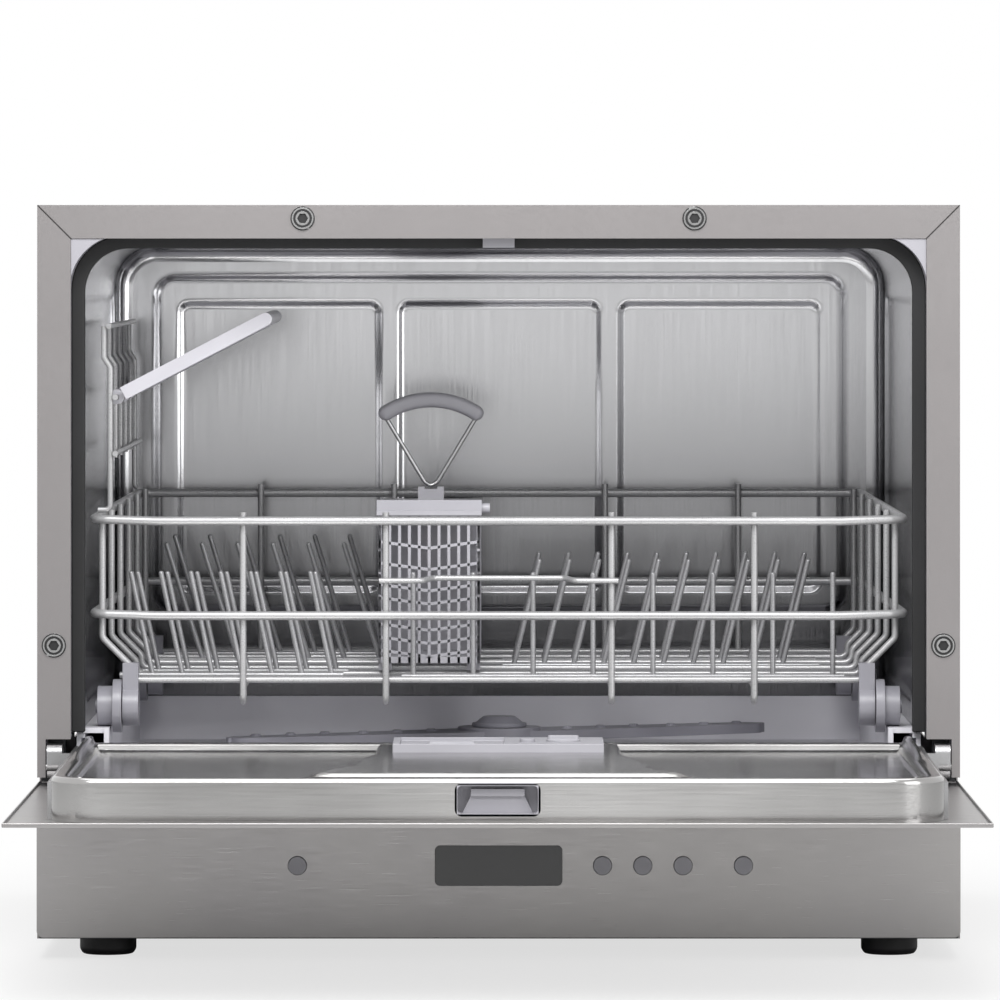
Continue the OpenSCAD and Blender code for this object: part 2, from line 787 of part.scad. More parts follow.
module drain_outlet() {
    y = cab_d - 42;
    color("#d8d8d4") placed() difference() {
        union() {
            block([-outlet_x - 14, y - 20, foot_h + 3 + seat], [-outlet_x + 14, y, inlet_z + 14]);
            rod_y(y - eps, cab_d + seat + eps, -outlet_x, inlet_z, outlet_d - 3);
            rod_y(cab_d + seat, cab_d + stub_l, -outlet_x, inlet_z, outlet_d);
        }
        rod_y(y - 10, cab_d + stub_l + 1, -outlet_x, inlet_z, outlet_d - 8);
    }
}

module cord_gland() {
    color("#26272a") placed() difference() {
        union() {
            rod_y(cab_d - 12, cab_d, gland_x, inlet_z, gland_d);
            rod_y(cab_d - 5, cab_d - sheet - seat, gland_x, inlet_z, gland_d + 7);
        }
        rod_y(cab_d - 13, cab_d + 1, gland_x, inlet_z, 8);
    }
}

// ---------- door lock ----------

module lock_housing() {
    low = mouth_z + 2.4;
    high = cab_h - 4.4;
    color("#6d6d72") placed() {
        difference() {
            block([-35.5, 2, low], [35.5, bezel_d - 1, high]);
            block([-12, 1, low - 1], [12, bezel_d - 3, high - 2]);
        }
        rod_x(-12 - eps, 12 + eps, lock_pin.x, lock_pin.y, 4);
    }
}

module lock_hook() {
    color("#a5a4aa") placed() difference() {
        union() {
            rod_x(-9.5, 9.5, lock_pin.x, lock_pin.y, 8);
            along_x(-9.5, 9.5) polygon([
                [10, 424.5], [14, 424.5], [16, 429], [20, 436], [lock_pin.x, 441], [10, 439],
            ]);
        }
        rod_x(-11, 11, lock_pin.x, lock_pin.y, 4 + 2 * run);
    }
}

// ---------- controls ----------

module fascia() {
    color("#a3a1a3") placed() difference() {
        along_y(fascia_y, -seat) rounded([-half_w, foot_h + 1], [half_w, fascia_top], 4);
        along_y(fascia_y + 2.6, 1)
            rounded([-half_w + 2.6, foot_h + 3.6], [half_w - 2.6, fascia_top - 2.6], 2);
        along_y(fascia_y - 1, 1) {
            rounded(window[0], window[1], 3);
            for (x = button_place)
                translate([x, button_z]) circle(d = button_d + 0.4, $fn = round_fn);
        }
    }
}

module display_window() {
    color("#101214") placed() along_y(fascia_y - 0.3, -0.2)
        rounded(window[0] + [seat, seat], window[1] - [seat, seat], 3);
}

module control_board() {
    color("#35363a") placed() {
        difference() {
            block([-145, 4, pan_top + seat], [168, 22, 88]);
            block([-143, 3, pan_top + 2], [166, 20, 86]);
        }
        // Feet on the pan's front wall, and carriers of the switches.
        for (x = [-140, 0, 152])
            block([x, 0.5, pan_top + seat], [x + 12, 4 + eps, pan_top + 4]);
        for (x = button_place)
            rod_y(1.2, 20 + eps, x, button_z, 7);
    }
}

module button(index) {
    x = button_place[index];
    color("#c9c8cc") placed() {
        rod_y(fascia_y - button_travel - clear, fascia_y + 3, x, button_z, button_d);
        rod_y(fascia_y + 2.6 + seat, fascia_y + 4.2, x, button_z, button_d + 3);
    }
}

// ---------- door, drawn open ----------

module skin_outline(inset) {
    translate([-half_w + inset, skin_near + inset])
        square([2 * (half_w - inset), skin_far - skin_near - 2 * inset]);
}

module door_skin() {
    color("#9a9899") placed() difference() {
        translate([0, 0, skin_face]) linear_extrude(skin_edge) skin_outline(0);
        translate([0, 0, skin_face + 1]) linear_extrude(skin_edge) skin_outline(1.2);
        block([-handle_w / 2 - seat, handle_y - seat, skin_face - 1],
              [handle_w / 2 + seat, handle_y + 26 + seat, skin_face + 2]);
    }
}

module handle_cup() {
    x = handle_w / 2;
    color("#3b3b3e") placed() difference() {
        union() {
            block([-x, handle_y, skin_face], [x, handle_y + 26, skin_face + 14]);
            block([-x - 3, handle_y - 3, skin_face + 1 + seat], [x + 3, handle_y + 29, skin_face + 3]);
        }
        block([-x + 2, handle_y + 2, skin_face - 1], [x - 2, handle_y + 24, skin_face + 12]);
    }
}

// The liner in plan, with its near corners rounded.
module liner_outline(t) {
    x = liner_w / 2 - t;
    r = liner_r - t;
    translate([-x, liner_near + t + r]) square([2 * x, liner_far - liner_near - 2 * t - r]);
    translate([-x + r, liner_near + t]) square([2 * (x - r), r + eps]);
    for (side = [-1, 1])
        translate([side * (x - r), liner_near + t + r]) circle(r = r, $fn = round_fn);
}

// Liner's outer form, drawn in by t on every side.
module liner_form(t) {
    x = liner_w / 2;
    foot = t > 0 ? skin_face : skin_face + 1 + seat;
    difference() {
        translate([0, 0, foot]) linear_extrude(rim_z - t - foot) liner_outline(t);
        translate([0, 0, rim_z - liner_recess - t]) linear_extrude(20)
            rounded([-x + 12 - t, liner_near + 11 - t], [x - 12 + t, -12 + t], 12);
    }
    translate([0, 0, foot]) linear_extrude(rim_z + plateau - t - foot) polygon([
        [-104 + t, liner_near + 7 + t], [104 - t, liner_near + 7 + t],
        [72 - t, liner_near + 175], [72 - t, -46 - t], [-72 + t, -46 - t],
        [-72 + t, liner_near + 175],
    ]);
    // Upstands by the hinges, which enter the mouth inside the gasket.
    for (side = [-1, 1]) mirrored(side)
        along_x(x - 9 + t, gasket_x - gasket_w - clear - t) polygon([
            [liner_far - t, foot], [liner_far - t, rim_z + upstand - t],
            [-2 + t, rim_z + upstand - t], [-120, rim_z - t], [-120, foot],
        ]);
}

module door_liner() {
    color("#c4c4c3") placed() difference() {
        liner_form(0);
        liner_form(liner_t);
        // Cut-outs of the dispenser and the latch pocket.
        block([-dispenser_w / 2 - seat, dispenser_y - seat, foot_h],
              [dispenser_w / 2 + seat, dispenser_y + dispenser_l + seat, rim_z + 20]);
        along_y(liner_near - 1, liner_near + 3)
            rounded([-latch_w / 2 - seat, latch_z - seat],
                    [latch_w / 2 + seat, latch_z + latch_h + seat], 4);
    }
}

module strike_pocket() {
    color("#8f8f92") placed() {
        difference() {
            along_y(liner_near, liner_near + 13)
                rounded([-latch_w / 2, latch_z], [latch_w / 2, latch_z + latch_h], 4);
            along_y(liner_near - 1, liner_near + 11.5)
                rounded([-latch_w / 2 + 1.5, latch_z + 1.5],
                        [latch_w / 2 - 1.5, latch_z + latch_h - 1.5], 2.5);
        }
        along_y(liner_near + 7, liner_near + 12) polygon([
            [-20, latch_z + 1], [20, latch_z + 1], [15, latch_z + 11], [-15, latch_z + 11],
        ]);
        block([-15, liner_near + 5, latch_z + 11 - eps], [15, liner_near + 12, latch_z + 15]);
    }
}

module dispenser_body() {
    x = dispenser_w / 2;
    y = dispenser_y;
    well = [[-54, y + 5], [0, y + 28]];
    color("#a9a8ae") placed() difference() {
        block([-x, y, rim_z - 16], [x, y + dispenser_l, dispenser_top]);
        translate([0, 0, rim_z - 10]) linear_extrude(30) rounded(well[0], well[1], 4);
        // Track of the sliding lid.
        block([-57 - clear, y + 1.5, dispenser_top - 2.2],
              [3 + clear, y + dispenser_l - 1.5, dispenser_top + 1]);
        // Hollow behind the face, and the seats of the button and cap.
        block([-x + 2, y + 32, rim_z - 17], [x - 2, y + dispenser_l - 2, rim_z - 2]);
        rod_z(dispenser_top - 4, dispenser_top + 1, 17, y + 20, 9 + 0.4);
        rod_z(dispenser_top - 4, dispenser_top + 1, 38, y + 26, 20 + 2 * run);
    }
}

module dispenser_lid() {
    y = dispenser_y;
    color("#b6b5bb") placed() {
        block([-57, y + 2, dispenser_top - 2.1], [3, y + 31, dispenser_top - 0.3]);
        for (i = [0 : 3])
            block([-40, y + 6 + 5 * i, dispenser_top - 0.31], [-14, y + 8 + 5 * i, dispenser_top + 0.6]);
    }
}

module dispenser_button() {
    color("#d2d1d6") placed() rod_z(dispenser_top - 2.3, dispenser_top + 2, 17, dispenser_y + 20, 9);
}

module rinse_cap() {
    color("#c2c1c7") placed() translate([38, dispenser_y + 26, 0]) {
        rod_z(dispenser_top - 3.9, dispenser_top + 1, 0, 0, 20);
        translate([0, 0, dispenser_top + 1 - eps]) linear_extrude(2.4)
            rounded([-9, -2.5], [9, 2.5], 2);
    }
}

// Eye on the pin, lug in the pocket and rail along the door's side.
module hinge_arm(side) {
    rail = [liner_w / 2 + seat, liner_w / 2 + 2.3];
    rail_end = liner_near + liner_r + 2;
    color("#b4b4b6") placed() mirrored(side) difference() {
        union() {
            rod_x(arm_x[0], arm_x[1], hinge_y, hinge_z, 16);
            along_x(arm_x[0], arm_x[1]) rounded([-6, hinge_z - 2], [hinge_y + 6, hinge_z + 14], 5);
            block([rail[0], -6, hinge_z - 6], [arm_x[0] + 2, -1, hinge_z + 9]);
            along_x(rail[0], rail[1]) polygon([
                [rail_end, skin_face + 1 + seat], [hinge_y + 3, skin_face + 1 + seat],
                [hinge_y + 3, rim_z - 2], [rail_end, rim_z - 4],
            ]);
        }
        rod_x(arm_x[0] - 1, arm_x[1] + 1, hinge_y, hinge_z, pin_d + 2 * run);
    }
}

module hinge_arms() {
    hinge_arm(-1);
    hinge_arm(1);
}

module hinge_pins() {
    color("#8a8a8d") placed() for (side = [-1, 1]) mirrored(side) {
        rod_x(arm_x[0] - 1, half_w - sheet - 2 * clear, hinge_y, hinge_z, pin_d);
    }
}

// ---------- rack ----------

// Loop of rail round the rack at one height, narrower and higher at the back.
module rack_loop(z) {
    rise = rack_l * top_slope;
    half = [
        [side_x - 38, rack_y, z], [side_x, rack_y + 1, z + corner_rise],
        [rail_x(rack_back), rack_back, z + rise],
    ];
    bent_wire(both_sides(half), rail_d, closed = true);
}

// One wire across the rack, up both sides to the top rails.
module cross_wire(y) {
    top = rail_x(y) - beside;
    bent_wire(both_sides([
        [foot_x, y, cross_z], [foot_x, y, cross_z + 8], [top, y, cross_z + 8 + top - foot_x],
        [top, y, rail_z + 3 + (y - rack_y) * top_slope],
    ]), wire_d);
}

// One wire under the cross wires, up the front and the back, with a hooked foot.
module long_wire(x) {
    bent_wire([
        [x, long_front, rail_z + 5], [x, long_front, run_z - 9], [x, long_front + 7, run_z - 9],
        [x, long_front + 12, run_z], [x, long_back, run_z], [x, long_back, rail_z + 12],
    ], wire_d);
}

module rack_rails() {
    // The grip wire lies in front of the two middle wires.
    y = long_front - (wire_d + cup_wire_d) / 2 - seat;
    color("#b9b9b5") placed() {
        rack_loop(rail_z);
        rack_loop(mid_rail_z);
        bent_wire([
            [-long_in - 4, y, grip_z], [-46, y, grip_z], [-40, long_front + 10, grip_z + 1],
            [40, long_front + 10, grip_z + 1], [46, y, grip_z], [long_in + 4, y, grip_z],
        ], cup_wire_d);
    }
}

module cross_wires(first, last) {
    color("#b9b9b5") placed()
        for (i = [first : last]) cross_wire(cross_first + i * cross_pitch);
}

module long_wires() {
    color("#b9b9b5") placed() for (x = long_x) long_wire(x);
}

// A row of tines on its own bottom wire. Lean moves the tips sideways.
module tine_row(y, first, pitch, count, lean, top) {
    low = min(first, first - lean) - 7;
    high = max(first, first - lean) + pitch * (count - 1) + 7;
    rod_x(low, high, y, bottom_z, wire_d);
    for (i = [0 : count - 1]) {
        foot = [first - lean + i * pitch, y, bottom_z];
        tip = [first + i * pitch, y, top];
        wire(foot, tip, tine_d);
        translate(tip) rotate([0, atan2(lean, top - bottom_z), 0])
            translate([0, 0, -0.2]) cylinder(d1 = tine_d - 0.3, d2 = tine_d / 2, h = tine_d / 3, $fn = 24);
    }
}

module tines_left_front() {
    color("#b9b9b5") placed() {
        tine_row(98, -224, 18.2, 7, -13, 226);
        tine_row(142, -222, 18.2, 7, -13, 224);
    }
}

module tines_left_rear() {
    color("#b9b9b5") placed() {
        tine_row(270, -210, 22.4, 6, -23, 237);
        tine_row(350, -208, 22.4, 6, -23, 239);
    }
}

module tines_right_front() {
    color("#b9b9b5") placed() tine_row(82, -52, 36.4, 8, 0, 226);
}

module tines_right_rear() {
    color("#b9b9b5") placed() {
        tine_row(206, 25, 18.6, 10, 16, 229);
        tine_row(268, 25, 18.6, 10, 16, 231);
    }
}

// Wheel carriers clipped round the lower bends of the end wires.
module wheel_clips() {
    color("#a7a6ad") placed() for (y = wheel_y) for (side = [-1, 1]) mirrored(side)
        difference() {
            union() {
                along_x(foot_x - 4.5, foot_x + 5) {
                    translate([y, wheel_z]) circle(d = 24, $fn = round_fn);
                    translate([y - 7, wheel_z]) square([14, 26]);
                }
                rod_x(foot_x + 5 - eps, tub_x - 7.5, y, wheel_z, axle_d);
                rod_x(tub_x - 7.5 - eps, tub_x - 6.4, y, wheel_z, axle_d + 3);
            }
            bent_wire([
                [foot_x - 10, y, cross_z], [foot_x, y, cross_z], [foot_x, y, cross_z + 8],
                [foot_x + 9, y, cross_z + 17],
            ], wire_d + 2 * seat);
        }
}

module wheel(side, y) {
    color("#bcbbc2") placed() mirrored(side) difference() {
        union() {
            rod_x(wheel_in - 5.5, wheel_in, y, wheel_z, flange_d);
            rod_x(wheel_in - eps, tub_x - 7.8, y, wheel_z, tread_d);
        }
        rod_x(wheel_in - 7, tub_x, y, wheel_z, axle_d + 2 * run);
        for (a = [0 : 60 : 300])
            translate([0, y, wheel_z]) rotate([a, 0, 0]) rod_x(wheel_in + 1, tub_x, 8, 0, 3.4);
    }
}

// ---------- cup shelf ----------

// Six upright wires on three rods; the end ones lie on the rack's top rail.
module cup_wires() {
    low = cup_x - cup_step;
    top = shelf_z + 43;
    color("#b9b9b5") placed() mirrored(-1) {
        for (i = [0 : 5]) {
            y = cup_y[0] + i * (cup_y[1] - cup_y[0]) / 5;
            rest = side_rail_z(y) + (rail_d + cup_wire_d) / 2 + seat;
            foot = i == 0 || i == 5 ? [[rail_x(y) - 1, y, rest], [low, y, rest]]
                : [[low, y, shelf_z - 38]];
            bent_wire(concat(foot, [
                [low, y, shelf_z + 18], [cup_x, y, shelf_z + 24], [cup_x, y, top],
            ]), cup_wire_d);
        }
        rod_y(cup_y[0] - 4, cup_y[1] + 4, cup_x - cup_wire_d + 0.3, top, cup_wire_d);
        for (z = [shelf_z - 34, shelf_z])
            rod_y(cup_y[0] - 4, cup_y[1] + 4, shelf_x, z, cup_wire_d);
    }
}

// Comb-shaped shelf on three knuckles round its rail.
module cup_shelf() {
    run_y = [cup_y[0] + 4, cup_y[0] + 4 + shelf_run];
    color("#dddce2") placed() translate([-shelf_x, 0, shelf_z]) rotate([0, -shelf_tilt, 0])
        difference() {
            union() {
                along_y(run_y[0], run_y[1]) {
                    translate([5, -2]) square([shelf_l - 9, 4]);
                    translate([shelf_l - 4, 0]) circle(d = 8, $fn = round_fn);
                }
                for (y = [run_y[0], run_y[1] - 5])
                    along_y(y, y + 5) polygon([[5, -4], [shelf_l - 4, -4], [shelf_l - 4, 4], [5, 4]]);
                for (y = [run_y[0] + 10, run_y[0] + 90, run_y[0] + 150])
                    along_y(y, y + 20) {
                        circle(d = 9, $fn = round_fn);
                        translate([0, -2]) square([8, 4]);
                    }
            }
            rod_y(run_y[0] - 1, run_y[1] + 1, 0, 0, cup_wire_d + 2 * run);
            // Slots that hold glass stems and let water through.
            for (i = [0 : 8])
                translate([0, 0, -3]) linear_extrude(6)
                    rounded([16, run_y[0] + 12 + 20 * i], [shelf_l - 14, run_y[0] + 22 + 20 * i], 4);
        }
}

// ---------- cutlery basket ----------

// Slots of a wall panel, with bars that dip towards the middle.
module lattice(width, height, dip, slot = slot_w) {
    pitch = slot + bar_w;
    count = floor((width - 8) / pitch);
    row = 16;
    rows = floor((height - 8) / row);
    start = (width - count * pitch + bar_w) / 2;
    for (i = [0 : count - 1])
        for (j = [0 : rows - 1]) {
            x = start + i * pitch;
            drop = [for (v = [x, x + slot]) dip * (1 - abs(v - width / 2) / (width / 2))];
            z = 6 + j * row;
            polygon([
                [x, z - drop[0]], [x + slot, z - drop[1]],
                [x + slot, z - drop[1] + row - bar_w], [x, z - drop[0] + row - bar_w],
            ]);
        }
}

module basket_body() {
    x = [-basket_x - basket_w / 2, -basket_x + basket_w / 2];
    y = [basket_y, basket_y + basket_l];
    z = basket_z + 5;
    top = basket_z + basket_h;
    color("#b9b8bf") placed() difference() {
        union() {
            difference() {
                block([x[0], y[0], z], [x[1], y[1], top]);
                block([x[0] + basket_t, y[0] + basket_t, z + basket_t],
                      [x[1] - basket_t, y[1] - basket_t, top + 1]);
            }
            // Feet on the second and the last but one cross wire.
            for (fx = [x[0], x[1] - 8]) for (i = [1, cross_count - 2])
                block([fx, cross_first + i * cross_pitch - 5, basket_z],
                      [fx + 8, cross_first + i * cross_pitch + 5, z + eps]);
            // Cross wall that carries the handle.
            block([x[0], (y[0] + y[1]) / 2 - 3, z], [x[1], (y[0] + y[1]) / 2 + 3, top]);
        }
        along_y(y[0] - 1, y[1] + 1) translate([x[0] + 5, z + 6])
            lattice(basket_w - 10, basket_h - 16, 6);
        for (start = [y[0] + 4, y[0] + basket_l / 2 + 4])
            along_x(x[0] - 1, x[1] + 1) translate([start, z + 6])
                lattice(basket_l / 2 - 8, basket_h - 16, 0, 3 * slot_w);
        translate([0, 0, z - 1]) linear_extrude(basket_t + 2)
            for (i = [0 : 12]) for (k = [0, 1])
                translate([x[0] + 6, y[0] + 8 + 8 * i + k * basket_l / 2]) square([basket_w - 12, 4]);
    }
}

module basket_lid() {
    x = [-basket_x - basket_w / 2, -basket_x + basket_w / 2];
    y = [basket_y, basket_y + basket_l];
    top = basket_z + basket_h + seat;
    mid = (y[0] + y[1]) / 2;
    color("#cfced4") placed() difference() {
        union() {
            block([x[0] - 1, y[0] - 1, top], [x[1] + 1, y[1] + 1, top + 3]);
            along_x(x[0] - 1, x[1] + 1)
                polygon([[y[0] - 1, top], [y[0] + 14, top], [y[0] + 14, top + 9], [y[0] + 8, top + 9]]);
            // Saddle of the handle between its two posts.
            block([-basket_x - 8, mid - 6, top], [-basket_x + 8, mid + 6, top + 12.6]);
            for (s = [-8, 4])
                block([-basket_x + s, mid - 6, top], [-basket_x + s + 4, mid + 6, top + 14]);
            rod_x(x[1] + 1 - eps, x[1] + 6, y[0] + 12, top + 4, 6);
        }
        translate([0, 0, top - 1]) linear_extrude(5)
            for (i = [0 : 4]) for (k = [0 : 10])
                translate([x[0] + 5 + 10.8 * i, y[0] + 20 + 8 * k + (k > 5 ? 18 : 0)]) square([8, 4]);
    }
}

module basket_handle() {
    color("#9e9ea4") placed() bent_wire(handle_path, handle_d);
}

module basket_grip() {
    color("#a9a8ae") placed() difference() {
        along_y(basket_mid - 6, basket_mid + 6) translate([-basket_x, basket_top + 16])
            intersection() {
                difference() {
                    circle(r = 57, $fn = 96);
                    circle(r = 47.5, $fn = 96);
                }
                polygon([[0, 0], [-48, 62], [-48, 80], [48, 80], [48, 62]]);
            }
        bent_wire(handle_path, handle_d + 2 * seat);
    }
}

top_panel();
side_panel(-1);  // side_panel_left
side_panel(1);  // side_panel_right
back_panel();
base_pan();
feet();
bezel();
frame_screws();
door_seals();
tub_shell();
tub_floor();
filter_plate();
filter_cup();
arm_post();
spray_arm();
arm_cap();
pumps();
heater();
inlet_valve();
drain_outlet();
cord_gland();
lock_housing();
lock_hook();
fascia();
display_window();
control_board();
button(0);  // power_button
button(1);  // start_button
button(2);  // option_button_1
button(3);  // option_button_2
button(4);  // option_button_3
hinge_pins();
door_skin();
door_liner();
strike_pocket();
handle_cup();
dispenser_body();
dispenser_lid();
dispenser_button();
rinse_cap();
hinge_arms();
rack_rails();
cross_wires(0, 2);  // cross_wires_front
cross_wires(3, cross_count - 1);  // cross_wires_rear
long_wires();
tines_left_front();
tines_left_rear();
tines_right_front();
tines_right_rear();
wheel_clips();
wheel(-1, wheel_y[0]);  // wheel_front_left
wheel(1, wheel_y[0]);  // wheel_front_right
wheel(-1, wheel_y[1]);  // wheel_rear_left
wheel(1, wheel_y[1]);  // wheel_rear_right
cup_wires();
cup_shelf();
basket_body();
basket_lid();
basket_handle();
basket_grip();
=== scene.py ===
import json
from math import cos, hypot, pi, radians, sin, sqrt

import bmesh
import bpy
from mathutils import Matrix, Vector


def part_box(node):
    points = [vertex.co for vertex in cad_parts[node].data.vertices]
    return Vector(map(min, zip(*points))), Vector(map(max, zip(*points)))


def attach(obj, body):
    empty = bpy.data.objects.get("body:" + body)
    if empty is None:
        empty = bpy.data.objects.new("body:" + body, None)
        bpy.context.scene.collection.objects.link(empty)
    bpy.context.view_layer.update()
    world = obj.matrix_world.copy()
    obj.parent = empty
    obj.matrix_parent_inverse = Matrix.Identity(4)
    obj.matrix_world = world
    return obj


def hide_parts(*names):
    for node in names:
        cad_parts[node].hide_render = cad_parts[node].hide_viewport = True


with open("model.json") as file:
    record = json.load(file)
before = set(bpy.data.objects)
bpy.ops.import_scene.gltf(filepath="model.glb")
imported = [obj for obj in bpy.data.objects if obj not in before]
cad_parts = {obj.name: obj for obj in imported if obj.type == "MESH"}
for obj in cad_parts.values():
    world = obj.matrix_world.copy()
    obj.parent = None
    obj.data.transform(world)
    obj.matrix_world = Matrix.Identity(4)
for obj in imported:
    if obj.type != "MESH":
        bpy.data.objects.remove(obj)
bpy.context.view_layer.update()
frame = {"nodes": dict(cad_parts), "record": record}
nodes = frame["nodes"]

# Sizes below are in millimetres: x from the middle, y back from the front frame, z above the
# counter.
mm = 0.001
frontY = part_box("top_panel")[0].y / mm


def place(x, y, z):
    return Vector((x * mm, (y + frontY) * mm, z * mm))


# ---- materials ----

def linear(code):
    parts = [int(code[i:i + 2], 16) / 255 for i in (1, 3, 5)]
    return tuple(p / 12.92 if p <= 0.04045 else ((p + 0.055) / 1.055) ** 2.4
                 for p in parts) + (1.0,)


def addNode(tree, kind, values=None, links=None, **settings):
    node = tree.nodes.new(kind)
    for name, value in settings.items():
        setattr(node, name, value)
    for name, value in (values or {}).items():
        node.inputs[name].default_value = value
    for name, source in (links or {}).items():
        tree.links.new(source, node.inputs[name])
    return node


def startMaterial(name, **values):
    material = bpy.data.materials.new(name)
    material.use_nodes = True
    tree = material.node_tree
    shader = tree.nodes["Principled BSDF"]
    for key, value in values.items():
        shader.inputs[key.replace("_", " ")].default_value = value
    place3d = addNode(tree, "ShaderNodeTexCoord")
    return material, tree, shader, place3d.outputs["Object"]


def mixedColour(tree, low, high, factor):
    mix = addNode(tree, "ShaderNodeMix", {6: linear(low), 7: linear(high)}, {0: factor},
                  data_type="RGBA")
    return mix.outputs[2]


def noiseOf(tree, where, scale, stretch=(1, 1, 1), detail=2.0):
    mapping = addNode(tree, "ShaderNodeMapping", {"Scale": stretch}, {"Vector": where})
    noise = addNode(tree, "ShaderNodeTexNoise", {"Scale": scale, "Detail": detail},
                    {"Vector": mapping.outputs[0]})
    return noise.outputs["Fac"]


def remap(tree, source, low, high, to=(0.0, 1.0), smooth=False):
    node = addNode(tree, "ShaderNodeMapRange", {"From Min": low, "From Max": high, "To Min": to[0],
                                                "To Max": to[1]}, {"Value": source})
    if smooth:
        node.interpolation_type = "SMOOTHSTEP"
    return node.outputs[0]


def bumpOf(tree, shader, height, strength, distance):
    bump = addNode(tree, "ShaderNodeBump", {"Strength": strength, "Distance": distance},
                   {"Height": height})
    tree.links.new(bump.outputs[0], shader.inputs["Normal"])


def brushedSteel(name, low, high, roughness, grain, stretch):
    # Rolled stainless sheet with a linished grain: soft streaks that stretch each reflection.
    material, tree, shader, where = startMaterial(name, Metallic=1.0)
    streaks = noiseOf(tree, where, 1 / (grain * mm), stretch, 3.0)
    cloud = noiseOf(tree, where, 9.0)
    tree.links.new(mixedColour(tree, low, high, remap(tree, cloud, 0.35, 0.65)),
                   shader.inputs["Base Color"])
    tree.links.new(remap(tree, streaks, 0.3, 0.7, (roughness - 0.05, roughness + 0.07)),
                   shader.inputs["Roughness"])
    bumpOf(tree, shader, streaks, 0.08, 0.00005)
    return material


def tubSteel(name, low, high, roughness):
    # Bright-annealed stainless sheet, deep drawn: near mirror, with painted shade darkening it
    # towards the sump and painted light brightening it higher up.
    material, tree, shader, where = startMaterial(name, Metallic=1.0)
    parts = addNode(tree, "ShaderNodeSeparateXYZ", links={"Vector": where})
    # Painted light and shade: the colour rises from dark at the sump to bright near the top, by
    # height alone.
    rise = remap(tree, parts.outputs["Z"], 0.13, 0.40, smooth=True)
    streaks = noiseOf(tree, where, 1 / (0.9 * mm), (1, 1, 0.02), 3.0)
    cloud = noiseOf(tree, where, 5.0)
    tone = addNode(tree, "ShaderNodeMath", {1: 0.25}, {0: cloud}, operation="MULTIPLY").outputs[0]
    paintedShadeAndTone = addNode(tree, "ShaderNodeMath", links={0: rise, 1: tone}, operation="ADD").outputs[0]
    tree.links.new(mixedColour(tree, low, high, remap(tree, paintedShadeAndTone, 0.1, 1.15)),
                   shader.inputs["Base Color"])
    tree.links.new(remap(tree, streaks, 0.3, 0.7, (roughness - 0.04, roughness + 0.05)),
                   shader.inputs["Roughness"])
    bumpOf(tree, shader, streaks, 0.05, 0.00004)
    return material


def moulded(name, low, high, roughness, grit=0.4, strength=0.12, **values):
    # Injection-moulded plastic: fine spark-eroded texture that breaks up the highlight.
    material, tree, shader, where = startMaterial(name, **values)
    grain = noiseOf(tree, where, 1 / (grit * mm), detail=2.0)
    cloud = noiseOf(tree, where, 14.0)
    tree.links.new(mixedColour(tree, low, high, remap(tree, cloud, 0.35, 0.65)),
                   shader.inputs["Base Color"])
    tree.links.new(remap(tree, grain, 0.3, 0.7, (roughness - 0.05, roughness + 0.05)),
                   shader.inputs["Roughness"])
    bumpOf(tree, shader, grain, strength, 0.0001)
    return material


finishes = {
    # The tub's low tone is painted shade towards the sump; its high tone is painted light near the
    # top.
    "tub": tubSteel("brightAnnealedSteel", "#5f5f61", "#d4d4d6", 0.17),
    "liner": brushedSteel("pressedDoorSteel", "#a3a2a1", "#bdbcbb", 0.17, 0.8, (0.02, 1, 1)),
    "skin": brushedSteel("brushedSkinSteel", "#949292", "#989695", 0.32, 0.5, (0.02, 1, 1)),
    "casing": brushedSteel("silverLacqueredSteel", "#878484", "#8b8888", 0.42, 0.6, (1, 0.05, 1)),
    "back": brushedSteel("zincCoatedSteel", "#a3a4a6", "#a9aaac", 0.45, 2.2, (1, 1, 1)),
    "bright": brushedSteel("polishedScrewSteel", "#959595", "#a9a9a9", 0.28, 0.6, (1, 1, 1)),
    "grey": moulded("greyPolypropylene", "#98979d", "#a09fa5", 0.42),
    "wheel": moulded("wheelAcetal", "#85848b", "#929198", 0.34),
    "basket": moulded("basketPolypropylene", "#a4a3a9", "#adacb2", 0.38),
    "bezel": moulded("bezelPolypropylene", "#98979d", "#9f9ea4", 0.45),
    "floor": moulded("floorPolypropylene", "#cfced4", "#d8d7dd", 0.6),
    "arm": moulded("sprayArmPolypropylene", "#7b7a82", "#88878f", 0.5),
    "dark": moulded("darkAbs", "#2c2d30", "#35363a", 0.45),
    "pale": moulded("shelfPolypropylene", "#b7b6bc", "#c0bfc5", 0.36),
    "rubber": moulded("blackEpdmRubber", "#0b0b0c", "#141416", 0.6, 0.6, 0.2),
    "window": moulded("smokedAcrylic", "#08090b", "#0c0d10", 0.08, 1.0, 0.0),
    "wire": moulded("nylonCoatedWire", "#a6a6a7", "#b4b4b5", 0.3, 0.7, 0.15, Metallic=0.35),
    "tine": moulded("nylonCoatedTine", "#98989a", "#a8a8aa", 0.3, 0.7, 0.15, Metallic=0.35),
    "zinc": moulded("zincPlatedSteel", "#9b9b9c", "#b0b0b1", 0.3, 0.5, 0.1, Metallic=1.0),
}


